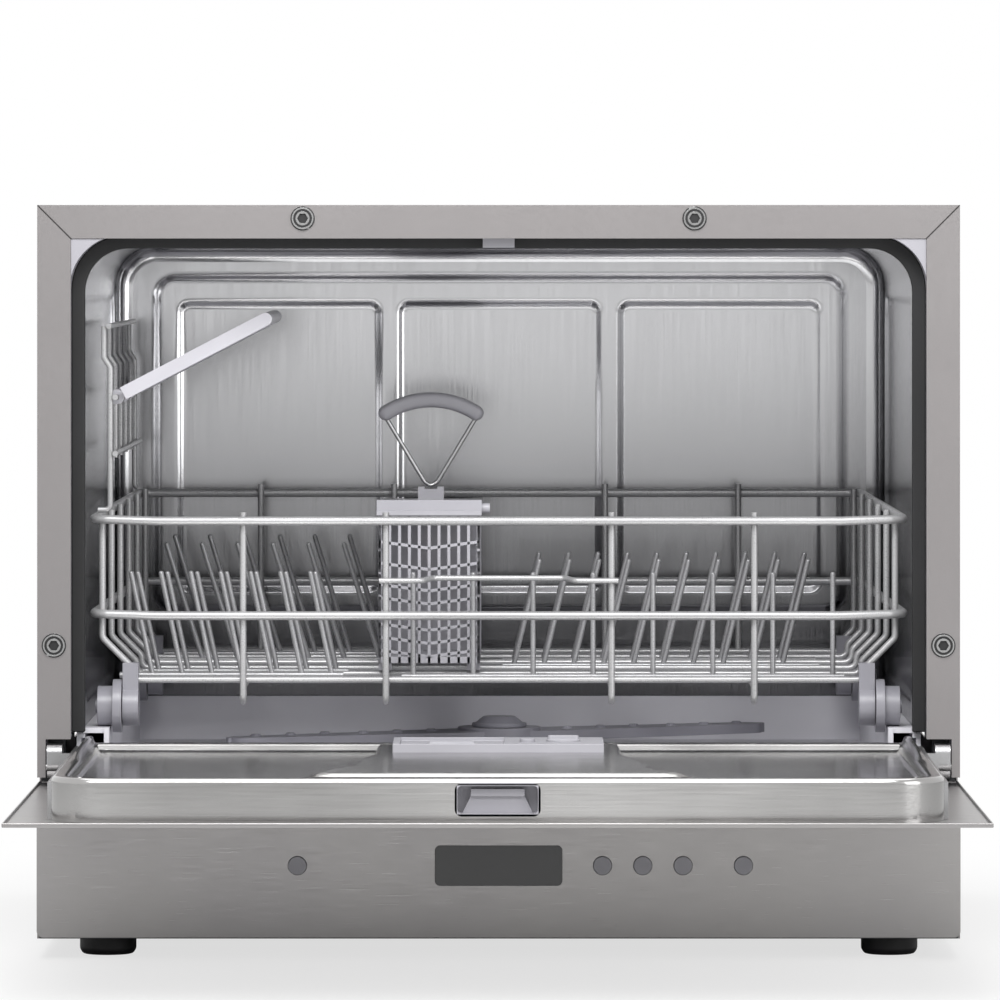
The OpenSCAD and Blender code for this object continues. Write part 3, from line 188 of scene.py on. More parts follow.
def mitreSeamShade(material, outer, top, width):
    # The dark hairline where the strips of the folded front frame meet at 45 degrees: painted shade
    # of the seam between them.
    tree = material.node_tree
    colour = tree.nodes["Principled BSDF"].inputs["Base Color"]
    parts = addNode(tree, "ShaderNodeSeparateXYZ",
                    links={"Vector": tree.nodes["Texture Coordinate"].outputs["Object"]})
    across = addNode(tree, "ShaderNodeMath", links={0: parts.outputs["X"]}, operation="ABSOLUTE")
    past = addNode(tree, "ShaderNodeMath", links={0: across.outputs[0], 1: parts.outputs["Z"]},
                   operation="SUBTRACT")
    past = addNode(tree, "ShaderNodeMath", {1: (top - outer) * mm}, {0: past.outputs[0]},
                   operation="ADD")
    away = addNode(tree, "ShaderNodeMath", links={0: past.outputs[0]}, operation="ABSOLUTE")
    dark = remap(tree, away.outputs[0], width / 2 * mm, width * mm, (0.8, 0.0))
    mix = addNode(tree, "ShaderNodeMix", {7: linear("#161616")},
                  {0: dark, 6: colour.links[0].from_socket}, data_type="RGBA")
    tree.links.new(mix.outputs[2], colour)


frontFrame = {"outer": 275.5, "top": 450.0, "width": 0.8}
mitreSeamShade(finishes["casing"], **frontFrame)
print("materials", len(finishes))

nodeFinish = {
    "casing": "top_panel side_panel_left side_panel_right",
    "back": "back_panel",
    "skin": "door_skin fascia",
    "liner": "door_liner",
    "tub": "tub_shell filter_plate heater",
    "bright": "frame_screws hinge_pins",
    "zinc": "hinge_arms basket_handle",
    "bezel": "bezel",
    "grey": "lock_hook strike_pocket dispenser_body dispenser_lid dispenser_button rinse_cap"
            " power_button start_button option_button_1 option_button_2 option_button_3"
            " basket_grip inlet_valve drain_outlet filter_cup lock_housing",
    "wheel": "wheel_clips wheel_front_left wheel_front_right wheel_rear_left wheel_rear_right",
    "basket": "basket_body basket_lid",
    "floor": "tub_floor",
    "arm": "arm_post spray_arm arm_cap",
    "dark": "base_pan pumps control_board handle_cup cord_gland",
    "pale": "cup_shelf",
    "rubber": "feet door_seals",
    "window": "display_window",
    "wire": "rack_rails cross_wires_front cross_wires_rear long_wires cup_wires",
    "tine": "tines_left_front tines_left_rear tines_right_front tines_right_rear",
}
finishOf = {node: finish for finish, names in nodeFinish.items() for node in names.split()}
bodyOf = {n: body for body, names in frame["record"]["behaviour"]["bodies"].items() for n in names}
for name, obj in nodes.items():
    obj.data.materials.clear()
    obj.data.materials.append(finishes[finishOf[name]])


# ---- making and joining pieces ----

def addPiece(name, mesh, body, finish, replaced=()):
    obj = bpy.data.objects.new(name, mesh)
    bpy.context.scene.collection.objects.link(obj)
    if not mesh.materials:
        mesh.materials.append(finishes[finish])
    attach(obj, body)
    if replaced:
        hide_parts(*replaced)
    return obj


def finished(name, mesh, modifiers):
    # Puts modifiers on a mesh and returns the plain result.
    obj = bpy.data.objects.new(name + "Work", mesh)
    bpy.context.scene.collection.objects.link(obj)
    for kind, settings in modifiers:
        modifier = obj.modifiers.new(kind, kind)
        for key, value in settings.items():
            setattr(modifier, key, value)
    result = bpy.data.meshes.new_from_object(obj.evaluated_get(
        bpy.context.evaluated_depsgraph_get()))
    bpy.data.objects.remove(obj)
    result.name = name
    return result


def softened(node, width, segments=2):
    # A copy of a solid with its edges rounded as its mould or press would round them.
    mesh = nodes[node].data.copy()
    bm = bmesh.new()
    bm.from_mesh(mesh)
    bmesh.ops.remove_doubles(bm, verts=bm.verts, dist=0.000002)
    bmesh.ops.dissolve_limit(bm, angle_limit=radians(0.6), verts=bm.verts, edges=bm.edges)
    bm.to_mesh(mesh)
    bm.free()
    mesh.shade_smooth()
    mesh.set_sharp_from_angle(angle=radians(32))
    name = "".join(part.title() if i else part for i, part in enumerate(node.split("_"))) + "Shape"
    mesh = finished(name, mesh, [
        ("BEVEL", dict(width=width * mm, segments=segments, limit_method="ANGLE",
                       angle_limit=radians(32), use_clamp_overlap=True)),
        ("WEIGHTED_NORMAL", dict(keep_sharp=False, weight=80)),
    ])
    mesh.shade_smooth()
    return addPiece(name, mesh, bodyOf[node], finishOf[node], (node,))


def gridMesh(name, rows):
    wide = len(rows[0])
    points = [p for row in rows for p in row]
    faces = [(i * wide + j, i * wide + j + 1, (i + 1) * wide + j + 1, (i + 1) * wide + j)
             for i in range(len(rows) - 1) for j in range(wide - 1)]
    mesh = bpy.data.meshes.new(name)
    mesh.from_pydata(points, [], faces)
    mesh.shade_smooth()
    return mesh


def joined(name, meshes):
    bm = bmesh.new()
    for mesh in meshes:
        bm.from_mesh(mesh)
    mesh = bpy.data.meshes.new(name)
    bm.to_mesh(mesh)
    bm.free()
    mesh.shade_smooth()
    return mesh


def smoothStep(t):
    t = min(max(t, 0.0), 1.0)
    return t * t * (3 - 2 * t)


def roundedBox(x, y, low, high, r):
    # Signed distance to a rounded rectangle, negative inside.
    dx = abs(x - (low[0] + high[0]) / 2) - (high[0] - low[0]) / 2 + r
    dy = abs(y - (low[1] + high[1]) / 2) - (high[1] - low[1]) / 2 + r
    return hypot(max(dx, 0), max(dy, 0)) + min(max(dx, dy), 0) - r


def gridLines(low, high, edges, near, fine, coarse):
    values = [low]
    while values[-1] < high - 0.01:
        gap = min(abs(values[-1] - e) for e in edges)
        step = fine if gap < near else min(coarse, gap - near + fine)
        values.append(min(high, values[-1] + step))
    return values


# ---- tub: one pressed shell with soft embossed panels ----

tub = {"halfWidth": 249.5, "top": 426.0, "corner": 27.0, "front": 26.9, "back": 421.0,
       "foot": 133.0, "backRound": 11.0, "emboss": 2.0, "slope": 5.0, "wall": 1.0,
       "field": ((-223, 189), (223, 405), 12.0), "panelWide": 129.0, "panelGap": 14.0,
       "panelLow": 202.0, "panelHigh": 388.0, "sideField": ((60, 152), (398, 392), 14.0)}


def embossed(x, y, low, high, r):
    return 1 - smoothStep(roundedBox(x, y, low, high, r) / tub["slope"] + 0.5)


def tubMesh():
    w, r = tub["halfWidth"], tub["corner"]
    low, high, fieldR = tub["sideField"]
    heights = gridLines(tub["foot"], tub["top"] - r, [low[1], high[1]], 15, 1.6, 16)
    profile = [(w, z, 1, 0) for z in heights]
    profile += [(w - r + r * cos(a), tub["top"] - r + r * sin(a), cos(a), sin(a))
                for a in [pi / 2 * i / 16 for i in range(1, 17)]]
    across = [(w - r) * (1 - i / 12) for i in range(1, 12)]
    profile += [(x, tub["top"], 0, 1) for x in across]
    profile += [(-x, z, -nx, nz) for x, z, nx, nz in reversed(profile)]
    depths = gridLines(tub["front"], tub["back"] - tub["backRound"], [low[0], high[0]], 15, 1.6, 16)
    rows = []
    for y in depths:
        row = []
        for x, z, nx, nz in profile:
            out = tub["emboss"] * embossed(y, z, low, high, fieldR) if abs(nx) == 1 else 0
            row.append(place(x + nx * out, y, z))
        rows.append(row)
    b = tub["backRound"]
    for i in range(1, 9):
        a = pi / 2 * i / 8
        rows.append([place(x - nx * b * (1 - cos(a)), tub["back"] - b + b * sin(a),
                           z - nz * b * (1 - cos(a))) for x, z, nx, nz in profile])
    shell = gridMesh("tubWalls", rows)
    fieldLow, fieldHigh, fieldRound = tub["field"]
    pitch = tub["panelWide"] + tub["panelGap"]
    panels = [((i * pitch - tub["panelWide"] / 2, tub["panelLow"]),
               (i * pitch + tub["panelWide"] / 2, tub["panelHigh"]), 6.0) for i in (-1, 0, 1)]
    xs = gridLines(-w + b - 1, w - b + 1, [fieldLow[0], fieldHigh[0]] + [p[k][0] for p in panels
                                                               for k in (0, 1)], 13, 1.5, 14)
    zs = gridLines(tub["foot"], tub["top"] - b + 1, [fieldLow[1], fieldHigh[1], tub["panelLow"],
                                                     tub["panelHigh"]], 13, 1.5, 14)
    rows = []
    for z in zs:
        row = []
        for x in xs:
            step = embossed(x, z, fieldLow, fieldHigh, fieldRound)
            step -= max(embossed(x, z, *p) for p in panels)
            inCorner = roundedBox(x, z, (-w, 0), (w, tub["top"]), r) + b - 1
            row.append(place(x, tub["back"] - tub["emboss"] * step, z) if inCorner < 3 else None)
        rows.append(row)
    index, points, faces = {}, [], []
    for i, row in enumerate(rows):
        for j, p in enumerate(row):
            if p is not None:
                index[i, j] = len(points)
                points.append(p)
    for i in range(len(rows) - 1):
        for j in range(len(rows[0]) - 1):
            keys = [(i, j), (i, j + 1), (i + 1, j + 1), (i + 1, j)]
            if all(k in index for k in keys):
                faces.append([index[k] for k in keys])
    backWall = bpy.data.meshes.new("tubBack")
    backWall.from_pydata(points, [], faces)
    mesh = joined("tubLining", [shell, backWall])
    return mesh


def turnedTo(mesh, target):
    # Makes every face of an open shell look towards a point.
    bm = bmesh.new()
    bm.from_mesh(mesh)
    for face in bm.faces:
        if face.normal.dot(target - face.calc_center_median()) < 0:
            face.normal_flip()
    bm.to_mesh(mesh)
    bm.free()
    return mesh


tubLining = turnedTo(tubMesh(), place(0, 230, 290))
tubLining = finished("tubLining", tubLining, [
    ("SOLIDIFY", dict(thickness=tub["wall"] * mm, offset=-1.0))])
tubLining.shade_smooth()
tubLining.set_sharp_from_angle(angle=radians(50))
addPiece("tubLining", tubLining, "cabinet", "tub", ("tub_shell",))
print("tub", len(tubLining.polygons))


# ---- wires by geometry nodes ----

def socketId(tree, name):
    return next(s.identifier for s in tree.interface.items_tree
                if s.item_type == "SOCKET" and s.in_out == "INPUT" and s.name == name)


def startTree(name, inputs):
    tree = bpy.data.node_groups.new(name, "GeometryNodeTree")
    tree.interface.new_socket("Geometry", in_out="INPUT", socket_type="NodeSocketGeometry")
    for label, kind, value in inputs:
        socket = tree.interface.new_socket(label, in_out="INPUT", socket_type=kind)
        if value is not None:
            socket.default_value = value
    tree.interface.new_socket("Geometry", in_out="OUTPUT", socket_type="NodeSocketGeometry")
    return tree, tree.nodes.new("NodeGroupInput"), tree.nodes.new("NodeGroupOutput")


def endTree(tree, geometry, material, output):
    real = addNode(tree, "GeometryNodeRealizeInstances", links={"Geometry": geometry})
    smooth = addNode(tree, "GeometryNodeSetShadeSmooth", links={"Geometry": real.outputs[0]})
    paint = addNode(tree, "GeometryNodeSetMaterial", links={"Geometry": smooth.outputs[0],
                                                            "Material": material})
    tree.links.new(paint.outputs[0], output.inputs[0])


def wireTree():
    # Turns each chain of edges into a round wire with bends of one radius.
    tree, given, output = startTree("bentWireTree", [
        ("Radius", "NodeSocketFloat", 0.002), ("Bend", "NodeSocketFloat", 0.006),
        ("Finish", "NodeSocketMaterial", None)])
    curve = addNode(tree, "GeometryNodeMeshToCurve", links={"Mesh": given.outputs["Geometry"]})
    fillet = addNode(tree, "GeometryNodeFilletCurve", {"Limit Radius": True},
                     {"Curve": curve.outputs[0], "Radius": given.outputs["Bend"]}, mode="POLY")
    fillet.inputs["Count"].default_value = 5
    ring = addNode(tree, "GeometryNodeCurvePrimitiveCircle", {"Resolution": 14},
                   {"Radius": given.outputs["Radius"]})
    tube = addNode(tree, "GeometryNodeCurveToMesh", {"Fill Caps": True},
                   {"Curve": fillet.outputs[0], "Profile Curve": ring.outputs[0]})
    endTree(tree, tube.outputs[0], given.outputs["Finish"], output)
    return tree


def tineTree():
    # A row of leaning tines with round tips.
    tree, given, output = startTree("tineRowTree", [
        ("Start", "NodeSocketVector", None), ("Pitch", "NodeSocketFloat", 0.018),
        ("Count", "NodeSocketInt", 7), ("Tip", "NodeSocketVector", None),
        ("Radius", "NodeSocketFloat", 0.0016), ("Finish", "NodeSocketMaterial", None)])
    step = addNode(tree, "ShaderNodeCombineXYZ", links={"X": given.outputs["Pitch"]})
    row = addNode(tree, "GeometryNodeMeshLine", links={
        "Count": given.outputs["Count"], "Start Location": given.outputs["Start"],
        "Offset": step.outputs[0]})
    stem = addNode(tree, "GeometryNodeCurvePrimitiveLine", links={"End": given.outputs["Tip"]})
    ring = addNode(tree, "GeometryNodeCurvePrimitiveCircle", {"Resolution": 12},
                   {"Radius": given.outputs["Radius"]})
    tube = addNode(tree, "GeometryNodeCurveToMesh", {"Fill Caps": True},
                   {"Curve": stem.outputs[0], "Profile Curve": ring.outputs[0]})
    ball = addNode(tree, "GeometryNodeMeshUVSphere", {"Segments": 12, "Rings": 8},
                   {"Radius": given.outputs["Radius"]})
    tip = addNode(tree, "GeometryNodeTransform", links={"Geometry": ball.outputs[0],
                                                        "Translation": given.outputs["Tip"]})
    both = addNode(tree, "GeometryNodeJoinGeometry")
    tree.links.new(tube.outputs[0], both.inputs[0])
    tree.links.new(tip.outputs[0], both.inputs[0])
    spread = addNode(tree, "GeometryNodeInstanceOnPoints", links={"Points": row.outputs[0],
                                                                  "Instance": both.outputs[0]})
    endTree(tree, spread.outputs[0], given.outputs["Finish"], output)
    return tree


def nodeMesh(name, tree, mesh, values):
    obj = bpy.data.objects.new(name + "Work", mesh)
    bpy.context.scene.collection.objects.link(obj)
    modifier = obj.modifiers.new(name, "NODES")
    modifier.node_group = tree
    for key, value in values.items():
        modifier[socketId(tree, key)] = value
    result = bpy.data.meshes.new_from_object(obj.evaluated_get(
        bpy.context.evaluated_depsgraph_get()))
    bpy.data.objects.remove(obj)
    result.name = name
    return result


wires = wireTree()
tineRows = tineTree()


def wireMesh(name, paths, diameter, bend, finish, closed=False):
    points, edges = [], []
    for path in paths:
        start = len(points)
        points += [place(*p) for p in path]
        edges += [(start + i, start + i + 1) for i in range(len(path) - 1)]
        if closed:
            edges.append((len(points) - 1, start))
    mesh = bpy.data.meshes.new(name)
    mesh.from_pydata(points, edges, [])
    return nodeMesh(name, wires, mesh, {"Radius": diameter / 2 * mm, "Bend": bend * mm,
                                        "Finish": finishes[finish]})


def bothSides(half):
    return [(-x, y, z) for x, y, z in reversed(half)] + half


rack = {"front": 38.0, "long": 347.0, "side": 244.0, "taper": 11.0, "railHigh": 260.0,
        "railMid": 203.0, "rise": 6.0, "cornerRise": 1.2, "rail": 5.4, "wire": 4.0, "tine": 3.2,
        "foot": 221.5, "bottom": 164.0, "seat": 0.1, "crossCount": 6, "longX": (-154, -68, 68, 154),
        "grip": 224.0}
rack["back"] = rack["front"] + rack["long"]
rack["run"] = rack["bottom"] - rack["wire"] - rack["seat"]
rack["reach"] = (rack["rail"] + rack["wire"]) / 2 + rack["seat"]
rack["crossFirst"] = rack["front"] + rack["reach"] + rack["wire"] + rack["seat"]
rack["crossLast"] = rack["back"] - rack["reach"] - rack["wire"] - rack["seat"]


def railX(y):
    return rack["side"] - rack["taper"] * (y - rack["front"]) / rack["long"]


def sideRailZ(y):
    share = (y - rack["front"]) / rack["long"]
    return rack["railHigh"] + rack["cornerRise"] + (rack["rise"] - rack["cornerRise"]) * share


def rackMeshes():
    loops = [bothSides([(rack["side"] - 38, rack["front"], z),
                        (rack["side"], rack["front"] + 1, z + rack["cornerRise"]),
                        (railX(rack["back"]), rack["back"], z + rack["rise"])])
             for z in (rack["railHigh"], rack["railMid"])]
    rails = wireMesh("rackRails", loops, rack["rail"], 9, "wire", closed=True)
    paths = []
    for i in range(rack["crossCount"]):
        share = i / (rack["crossCount"] - 1)
        y = rack["crossFirst"] + share * (rack["crossLast"] - rack["crossFirst"])
        top = railX(y) - rack["reach"]
        z = rack["bottom"]
        slope = rack["rise"] / rack["long"]
        paths.append(bothSides([(rack["foot"], y, z), (rack["foot"], y, z + 8),
                                (top, y, z + 8 + top - rack["foot"]),
                                (top, y, rack["railHigh"] + 3 + (y - rack["front"]) * slope)]))
    near, far, low = rack["front"] + rack["reach"], rack["back"] - rack["reach"], rack["run"]
    for x in rack["longX"]:
        paths.append([(x, near, rack["railHigh"] + 5), (x, near, low - 9), (x, near + 7, low - 9),
                      (x, near + 12, low), (x, far, low), (x, far, rack["railHigh"] + 12)])
    bent = wireMesh("rackWires", paths, rack["wire"], 5, "wire")
    x, z, thin = rack["longX"][2], rack["grip"], rack["wire"] - 0.6
    lie = near - (rack["wire"] + thin) / 2 - rack["seat"]
    half = [(40, near + 10, z + 1), (46, lie, z), (x + 4, lie, z)]
    grip = wireMesh("rackGrip", [bothSides(half)], thin, 4, "wire")
    return joined("rackWireFrame", [rails, bent, grip])


rackWireFrame = rackMeshes()
rackWireFrame.materials.append(finishes["wire"])
addPiece("rackWireFrame", rackWireFrame, "rack", "wire",
         ("rack_rails", "cross_wires_front", "cross_wires_rear", "long_wires"))

tineSets = {
    "tines_left_front": [(98, -224, 18.2, 7, -13, 226), (142, -222, 18.2, 7, -13, 224)],
    "tines_left_rear": [(270, -210, 22.4, 6, -23, 237), (350, -208, 22.4, 6, -23, 239)],
    "tines_right_front": [(82, -52, 36.4, 8, 0, 226)],
    "tines_right_rear": [(206, 25, 18.6, 10, 16, 229), (268, 25, 18.6, 10, 16, 231)],
}


def tineMesh(node, rows):
    meshes = []
    for y, first, pitch, count, lean, top in rows:
        empty = bpy.data.meshes.new("tineStart")
        meshes.append(nodeMesh("tines", tineRows, empty, {
            "Start": place(first - lean, y, rack["bottom"]), "Pitch": pitch * mm, "Count": count,
            "Tip": Vector((lean, 0, top - rack["bottom"])) * mm, "Radius": rack["tine"] / 2 * mm,
            "Finish": finishes["tine"]}))
        low = min(first, first - lean) - 7
        high = max(first, first - lean) + pitch * (count - 1) + 7
        meshes.append(wireMesh("tineBar", [[(low, y, rack["bottom"]), (high, y, rack["bottom"])]],
                               rack["wire"], 1, "tine"))
    return joined(node, meshes)


for node, rows in tineSets.items():
    name = "".join(part.title() if i else part for i, part in enumerate(node.split("_"))) + "Row"
    addPiece(name, tineMesh(name, rows), "rack", "tine", (node,))
print("rack wires", len(rackWireFrame.polygons))

cup = {"first": 60.0, "last": 366.0, "x": 238.7, "step": 3.8, "wire": 3.4, "rail": 334.0}


def cupMesh():
    low, top = cup["x"] - cup["step"], cup["rail"] + 43
    paths = []
    for i in range(6):
        y = cup["first"] + i * (cup["last"] - cup["first"]) / 5
        rest = sideRailZ(y) + (rack["rail"] + cup["wire"]) / 2 + 0.1
        foot = [(railX(y) - 1, y, rest), (low, y, rest)] if i in (0, 5) else [
            (low, y, cup["rail"] - 38)]
        paths.append(foot + [(low, y, cup["rail"] + 18), (cup["x"], y, cup["rail"] + 24),
                             (cup["x"], y, top)])
    for x, z in ((cup["x"], top), (low, cup["rail"] - 34), (low, cup["rail"])):
        x -= cup["wire"] - 0.3
        paths.append([(x, cup["first"] - 4, z), (x, cup["last"] + 4, z)])
    return wireMesh("cupWires", [[(-x, y, z) for x, y, z in path] for path in paths],
                    cup["wire"], 3, "wire")


addPiece("cupWires", cupMesh(), "rack", "wire", ("cup_wires",))

# ---- cutlery basket: open lattice walls, a wire handle and a rounded grip ----

def slatTree():
    # Sets one straight bar on every point of a mesh.
    tree, given, output = startTree("slatTree", [
        ("Size", "NodeSocketVector", None), ("Turn", "NodeSocketVector", None),
        ("Finish", "NodeSocketMaterial", None)])
    bar = addNode(tree, "GeometryNodeMeshCube", links={"Size": given.outputs["Size"]})
    rows = addNode(tree, "GeometryNodeInstanceOnPoints", links={
        "Points": given.outputs["Geometry"], "Instance": bar.outputs[0],
        "Rotation": given.outputs["Turn"]})
    endTree(tree, rows.outputs[0], given.outputs["Finish"], output)
    return tree


slats = slatTree()


def slatMesh(points, size, turn=0.0):
    # Bars of one size in millimetres, turned about the depth axis, centred on each point.
    mesh = bpy.data.meshes.new("slatPoints")
    mesh.from_pydata([place(*p) for p in points], [], [])
    return nodeMesh("slats", slats, mesh, {"Size": Vector(size) * mm, "Turn": Vector((0, turn, 0)),
                                           "Finish": finishes["basket"]})


basket = {"left": -73.5, "right": -11.5, "front": 96.0, "back": 322.0, "base": 166.3, "foot": 5.0,
          "height": 95.0, "wall": 2.0, "bar": 1.9, "frontSlots": 10, "sideSlots": 18, "rim": 6.0,
          "sill": 4.0, "dip": 4.0, "frontBars": (13, 21, 29, 37, 45, 53, 66, 79),
          "sideBars": (18, 32, 46, 60, 74), "crossWall": 6.0, "floorPitch": 8.0,
          "footPlaces": (112.7, 310.3), "footSize": (8.0, 10.0), "handle": 2.6, "seat": 0.1,
          "handlePath": [(4, 17), (31, 62)], "handleLow": 14.4, "gripLow": 16.0, "gripInner": 47.5,
          "gripOuter": 57.0, "gripDepth": 12.0, "gripReach": 37.7}


def basketMesh():
    b = basket
    low, high = b["base"] + b["foot"], b["base"] + b["height"]
    tall, wide, long = high - low, b["right"] - b["left"], b["back"] - b["front"]
    middle, centre = (low + high) / 2, (b["left"] + b["right"]) / 2
    half, slope = wide / 2, 2 * b["dip"] / wide
    pieces = []
    for y in (b["front"] + b["wall"] / 2, b["back"] - b["wall"] / 2):
        pitch = (wide - b["bar"]) / b["frontSlots"]
        pieces.append(slatMesh([(b["left"] + b["bar"] / 2 + i * pitch, y, middle)
                                for i in range(b["frontSlots"] + 1)], (b["bar"], b["wall"], tall)))
        for side in (-1, 1):
            bars = [(centre + side * half / 2, y, b["base"] + h - b["dip"] / 2)
                    for h in b["frontBars"]]
            size = (half * sqrt(1 + slope * slope), b["wall"], b["bar"])
            pieces.append(slatMesh(bars, size, -side * slope))
        for z, deep in ((high - b["rim"] / 2, b["rim"]), (low + b["sill"] / 2, b["sill"])):
            pieces.append(slatMesh([(centre, y, z)], (wide, b["wall"], deep)))
    for x in (b["left"] + b["wall"] / 2, b["right"] - b["wall"] / 2):
        pitch = (long - b["bar"]) / b["sideSlots"]
        pieces.append(slatMesh([(x, b["front"] + b["bar"] / 2 + i * pitch, middle)
                                for i in range(b["sideSlots"] + 1)], (b["wall"], b["bar"], tall)))
        pieces.append(slatMesh([(x, (b["front"] + b["back"]) / 2, b["base"] + h)
                                for h in b["sideBars"]], (b["wall"], long, b["bar"])))
        for z, deep in ((high - b["rim"] / 2, b["rim"]), (low + b["sill"] / 2, b["sill"])):
            pieces.append(slatMesh([(x, (b["front"] + b["back"]) / 2, z)],
                                   (b["wall"], long, deep)))
        inward = b["footSize"][0] / 2 * (1 if x < centre else -1)
        edge = b["left"] if x < centre else b["right"]
        feet = [(edge + inward, y, b["base"] + b["foot"] / 2) for y in b["footPlaces"]]
        pieces.append(slatMesh(feet, b["footSize"] + (b["foot"],)))
    pieces.append(slatMesh([(centre, (b["front"] + b["back"]) / 2, middle)],
                           (wide, b["crossWall"], tall)))
    count = int(long / b["floorPitch"])
    pieces.append(slatMesh([(centre, b["front"] + (i + 0.5) * long / count, low + b["wall"] / 2)
                            for i in range(count)], (wide, b["floorPitch"] / 2, b["wall"])))
    mesh = finished("basketLattice", joined("basketLattice", pieces), [
        ("BEVEL", dict(width=0.2 * mm, segments=1, limit_method="ANGLE"))])
    mesh.set_sharp_from_angle(angle=radians(30))
    return mesh


def gripMesh():
    # A band bent over the handle's two ends, with a rounded section and rounded tips.
    b = basket
    centre, middle = (b["left"] + b["right"]) / 2, (b["front"] + b["back"]) / 2
    pivot, line = b["base"] + b["height"] + b["gripLow"], (b["gripInner"] + b["gripOuter"]) / 2
    thick, deep = (b["gripOuter"] - b["gripInner"]) / 2, b["gripDepth"] / 2
    reach = radians(b["gripReach"])
    tip, steps, around = thick / line, 60, 24
    rings = []
    for i in range(steps + 1):
        a = reach * sin(pi / 2 * (2 * i / steps - 1))
        past = max(0.0, (abs(a) - reach + tip) / tip)
        shrink = sqrt(max(1 - past * past, 0.0004))
        ring = []
        for k in range(around):
            c, d = cos(2 * pi * k / around), sin(2 * pi * k / around)
            u = abs(c) ** 0.7 * (1 if c > 0 else -1) * thick * shrink
            v = abs(d) ** 0.7 * (1 if d > 0 else -1) * deep * (0.35 + 0.65 * shrink)
            ring.append(place(centre + (line + u) * sin(a), middle + v,
                              pivot + (line + u) * cos(a)))
        rings.append(ring)
    faces = []
    for i in range(steps):
        low, high = i * around, (i + 1) * around
        faces += [(low + k, low + (k + 1) % around, high + (k + 1) % around, high + k)
                  for k in range(around)]
    faces += [tuple(range(around)), tuple(steps * around + k for k in reversed(range(around)))]
    mesh = bpy.data.meshes.new("basketGripBand")
    mesh.from_pydata([p for ring in rings for p in ring], [], faces)
    bm = bmesh.new()
    bm.from_mesh(mesh)
    bmesh.ops.recalc_face_normals(bm, faces=bm.faces)
    bm.to_mesh(mesh)
    bm.free()
    mesh.shade_smooth()
    return mesh


def handleMesh():
    b = basket
    centre, middle = (b["left"] + b["right"]) / 2, (b["front"] + b["back"]) / 2
    top = b["base"] + b["height"] + b["seat"]
    half = [(x, middle, top + z) for x, z in b["handlePath"]]
    path = bothSides(half)
    path.insert(len(half), (0, middle, top + b["handleLow"]))
    path = [(x + centre, y, z) for x, y, z in path]
    return wireMesh("basketHandleWire", [path], b["handle"], 3, "zinc")


addPiece("basketLattice", basketMesh(), "cutlery_basket", "basket", ("basket_body",))
addPiece("basketGripBand", gripMesh(), "cutlery_basket", "grey", ("basket_grip",))
addPiece("basketHandleWire", handleMesh(), "cutlery_basket", "zinc", ("basket_handle",))
print("cutlery basket")

# ---- door liner: a pressed pan with a rolled rim and a raised middle ----

liner = {"half": 250.7, "near": -308.0, "far": 14.0, "foot": 103.6, "rim": 128.4, "corner": 28.0,
         "farCorner": 12.0, "inner": 11.95, "beside": 2.9, "roll": 3.0, "flat": 8.5, "slope": 5.0,
         "recess": 5.0, "raised": 2.6, "upstand": 4.0,
         "plateau": [(-104, -301), (104, -301), (72, -133), (72, -46), (-72, -46), (-72, -133)],
         "pocketHalf": 22.8, "pocketLow": 108.4, "pocketHigh": 124.6,
         "dispenser": (-61.6, -122.1, 61.6, -59.9)}


def insidePolygon(x, y, corners):
    # Signed distance to a polygon's edge, positive inside.
    best, inside = 1e9, False
    for (ax, ay), (bx, by) in zip(corners, corners[1:] + corners[:1]):
        ex, ey = bx - ax, by - ay
        t = min(max(((x - ax) * ex + (y - ay) * ey) / (ex * ex + ey * ey), 0), 1)
        best = min(best, hypot(x - ax - t * ex, y - ay - t * ey))
        if (ay > y) != (by > y) and x < (bx - ax) * (y - ay) / (by - ay) + ax:
            inside = not inside
    return best if inside else -best


def linerHeight(x, y):
    middle = (liner["near"] + liner["far"]) / 2
    d = -roundedBox(x, y, (-liner["half"], liner["near"]), (liner["half"], liner["far"]),
                    liner["corner"] if y < middle else liner["farCorner"])
    roll = liner["roll"]
    z = liner["rim"]
    if d < roll:
        z -= roll - sqrt(max(roll * roll - (roll - max(d, 0)) ** 2, 0))
    z -= liner["recess"] * smoothStep((d - liner["flat"]) / liner["slope"])
    share = smoothStep(insidePolygon(x, y, liner["plateau"]) / 4 + 0.5)
    z += (liner["rim"] + liner["raised"] - z) * share
    along = min(max((y + 150) / 140, 0), 1)
    edge = smoothStep((abs(x) - liner["half"] + 9.5) / 2) * smoothStep((d - liner["beside"]) / 1.6)
    return z + liner["upstand"] * sqrt(1 - (1 - along) ** 2) * edge


def linerOutline(d):
    # Points round the pan, drawn in by d, with the same count for every d.
    x, near, far = liner["half"] - d, liner["near"] + d, liner["far"] - d
    roll, inner = liner["roll"], liner["inner"]
    # Inside the rolled rim the corners tighten until the last loop meets the pan's square one.
    r, q = [(c - d if d <= roll else (c - roll) * (inner - d) / (inner - roll))
            for c in (liner["corner"], liner["farCorner"])]

    def across(r):
        return sorted([-x + r + (2 * x - 2 * r) * i / 60 for i in range(61)]
                      + [-liner["pocketHalf"], liner["pocketHalf"]])

    depths = [near + r + (far - near - r - q) * i / 40 for i in range(41)]
    arcs = [pi / 2 * i / 8 for i in range(1, 8)]
    points = [(v, near) for v in across(r)]
    points += [(x - r + r * sin(a), near + r - r * cos(a)) for a in arcs]
    points += [(x, v) for v in depths]
    points += [(x - q + q * cos(a), far - q + q * sin(a)) for a in arcs]
    points += [(v, far) for v in reversed(across(q))]
    points += [(-x + q - q * sin(a), far - q + q * cos(a)) for a in arcs]
    points += [(-x, v) for v in reversed(depths)]
    points += [(-x + r - r * cos(a), near + r - r * sin(a)) for a in arcs]
    return points


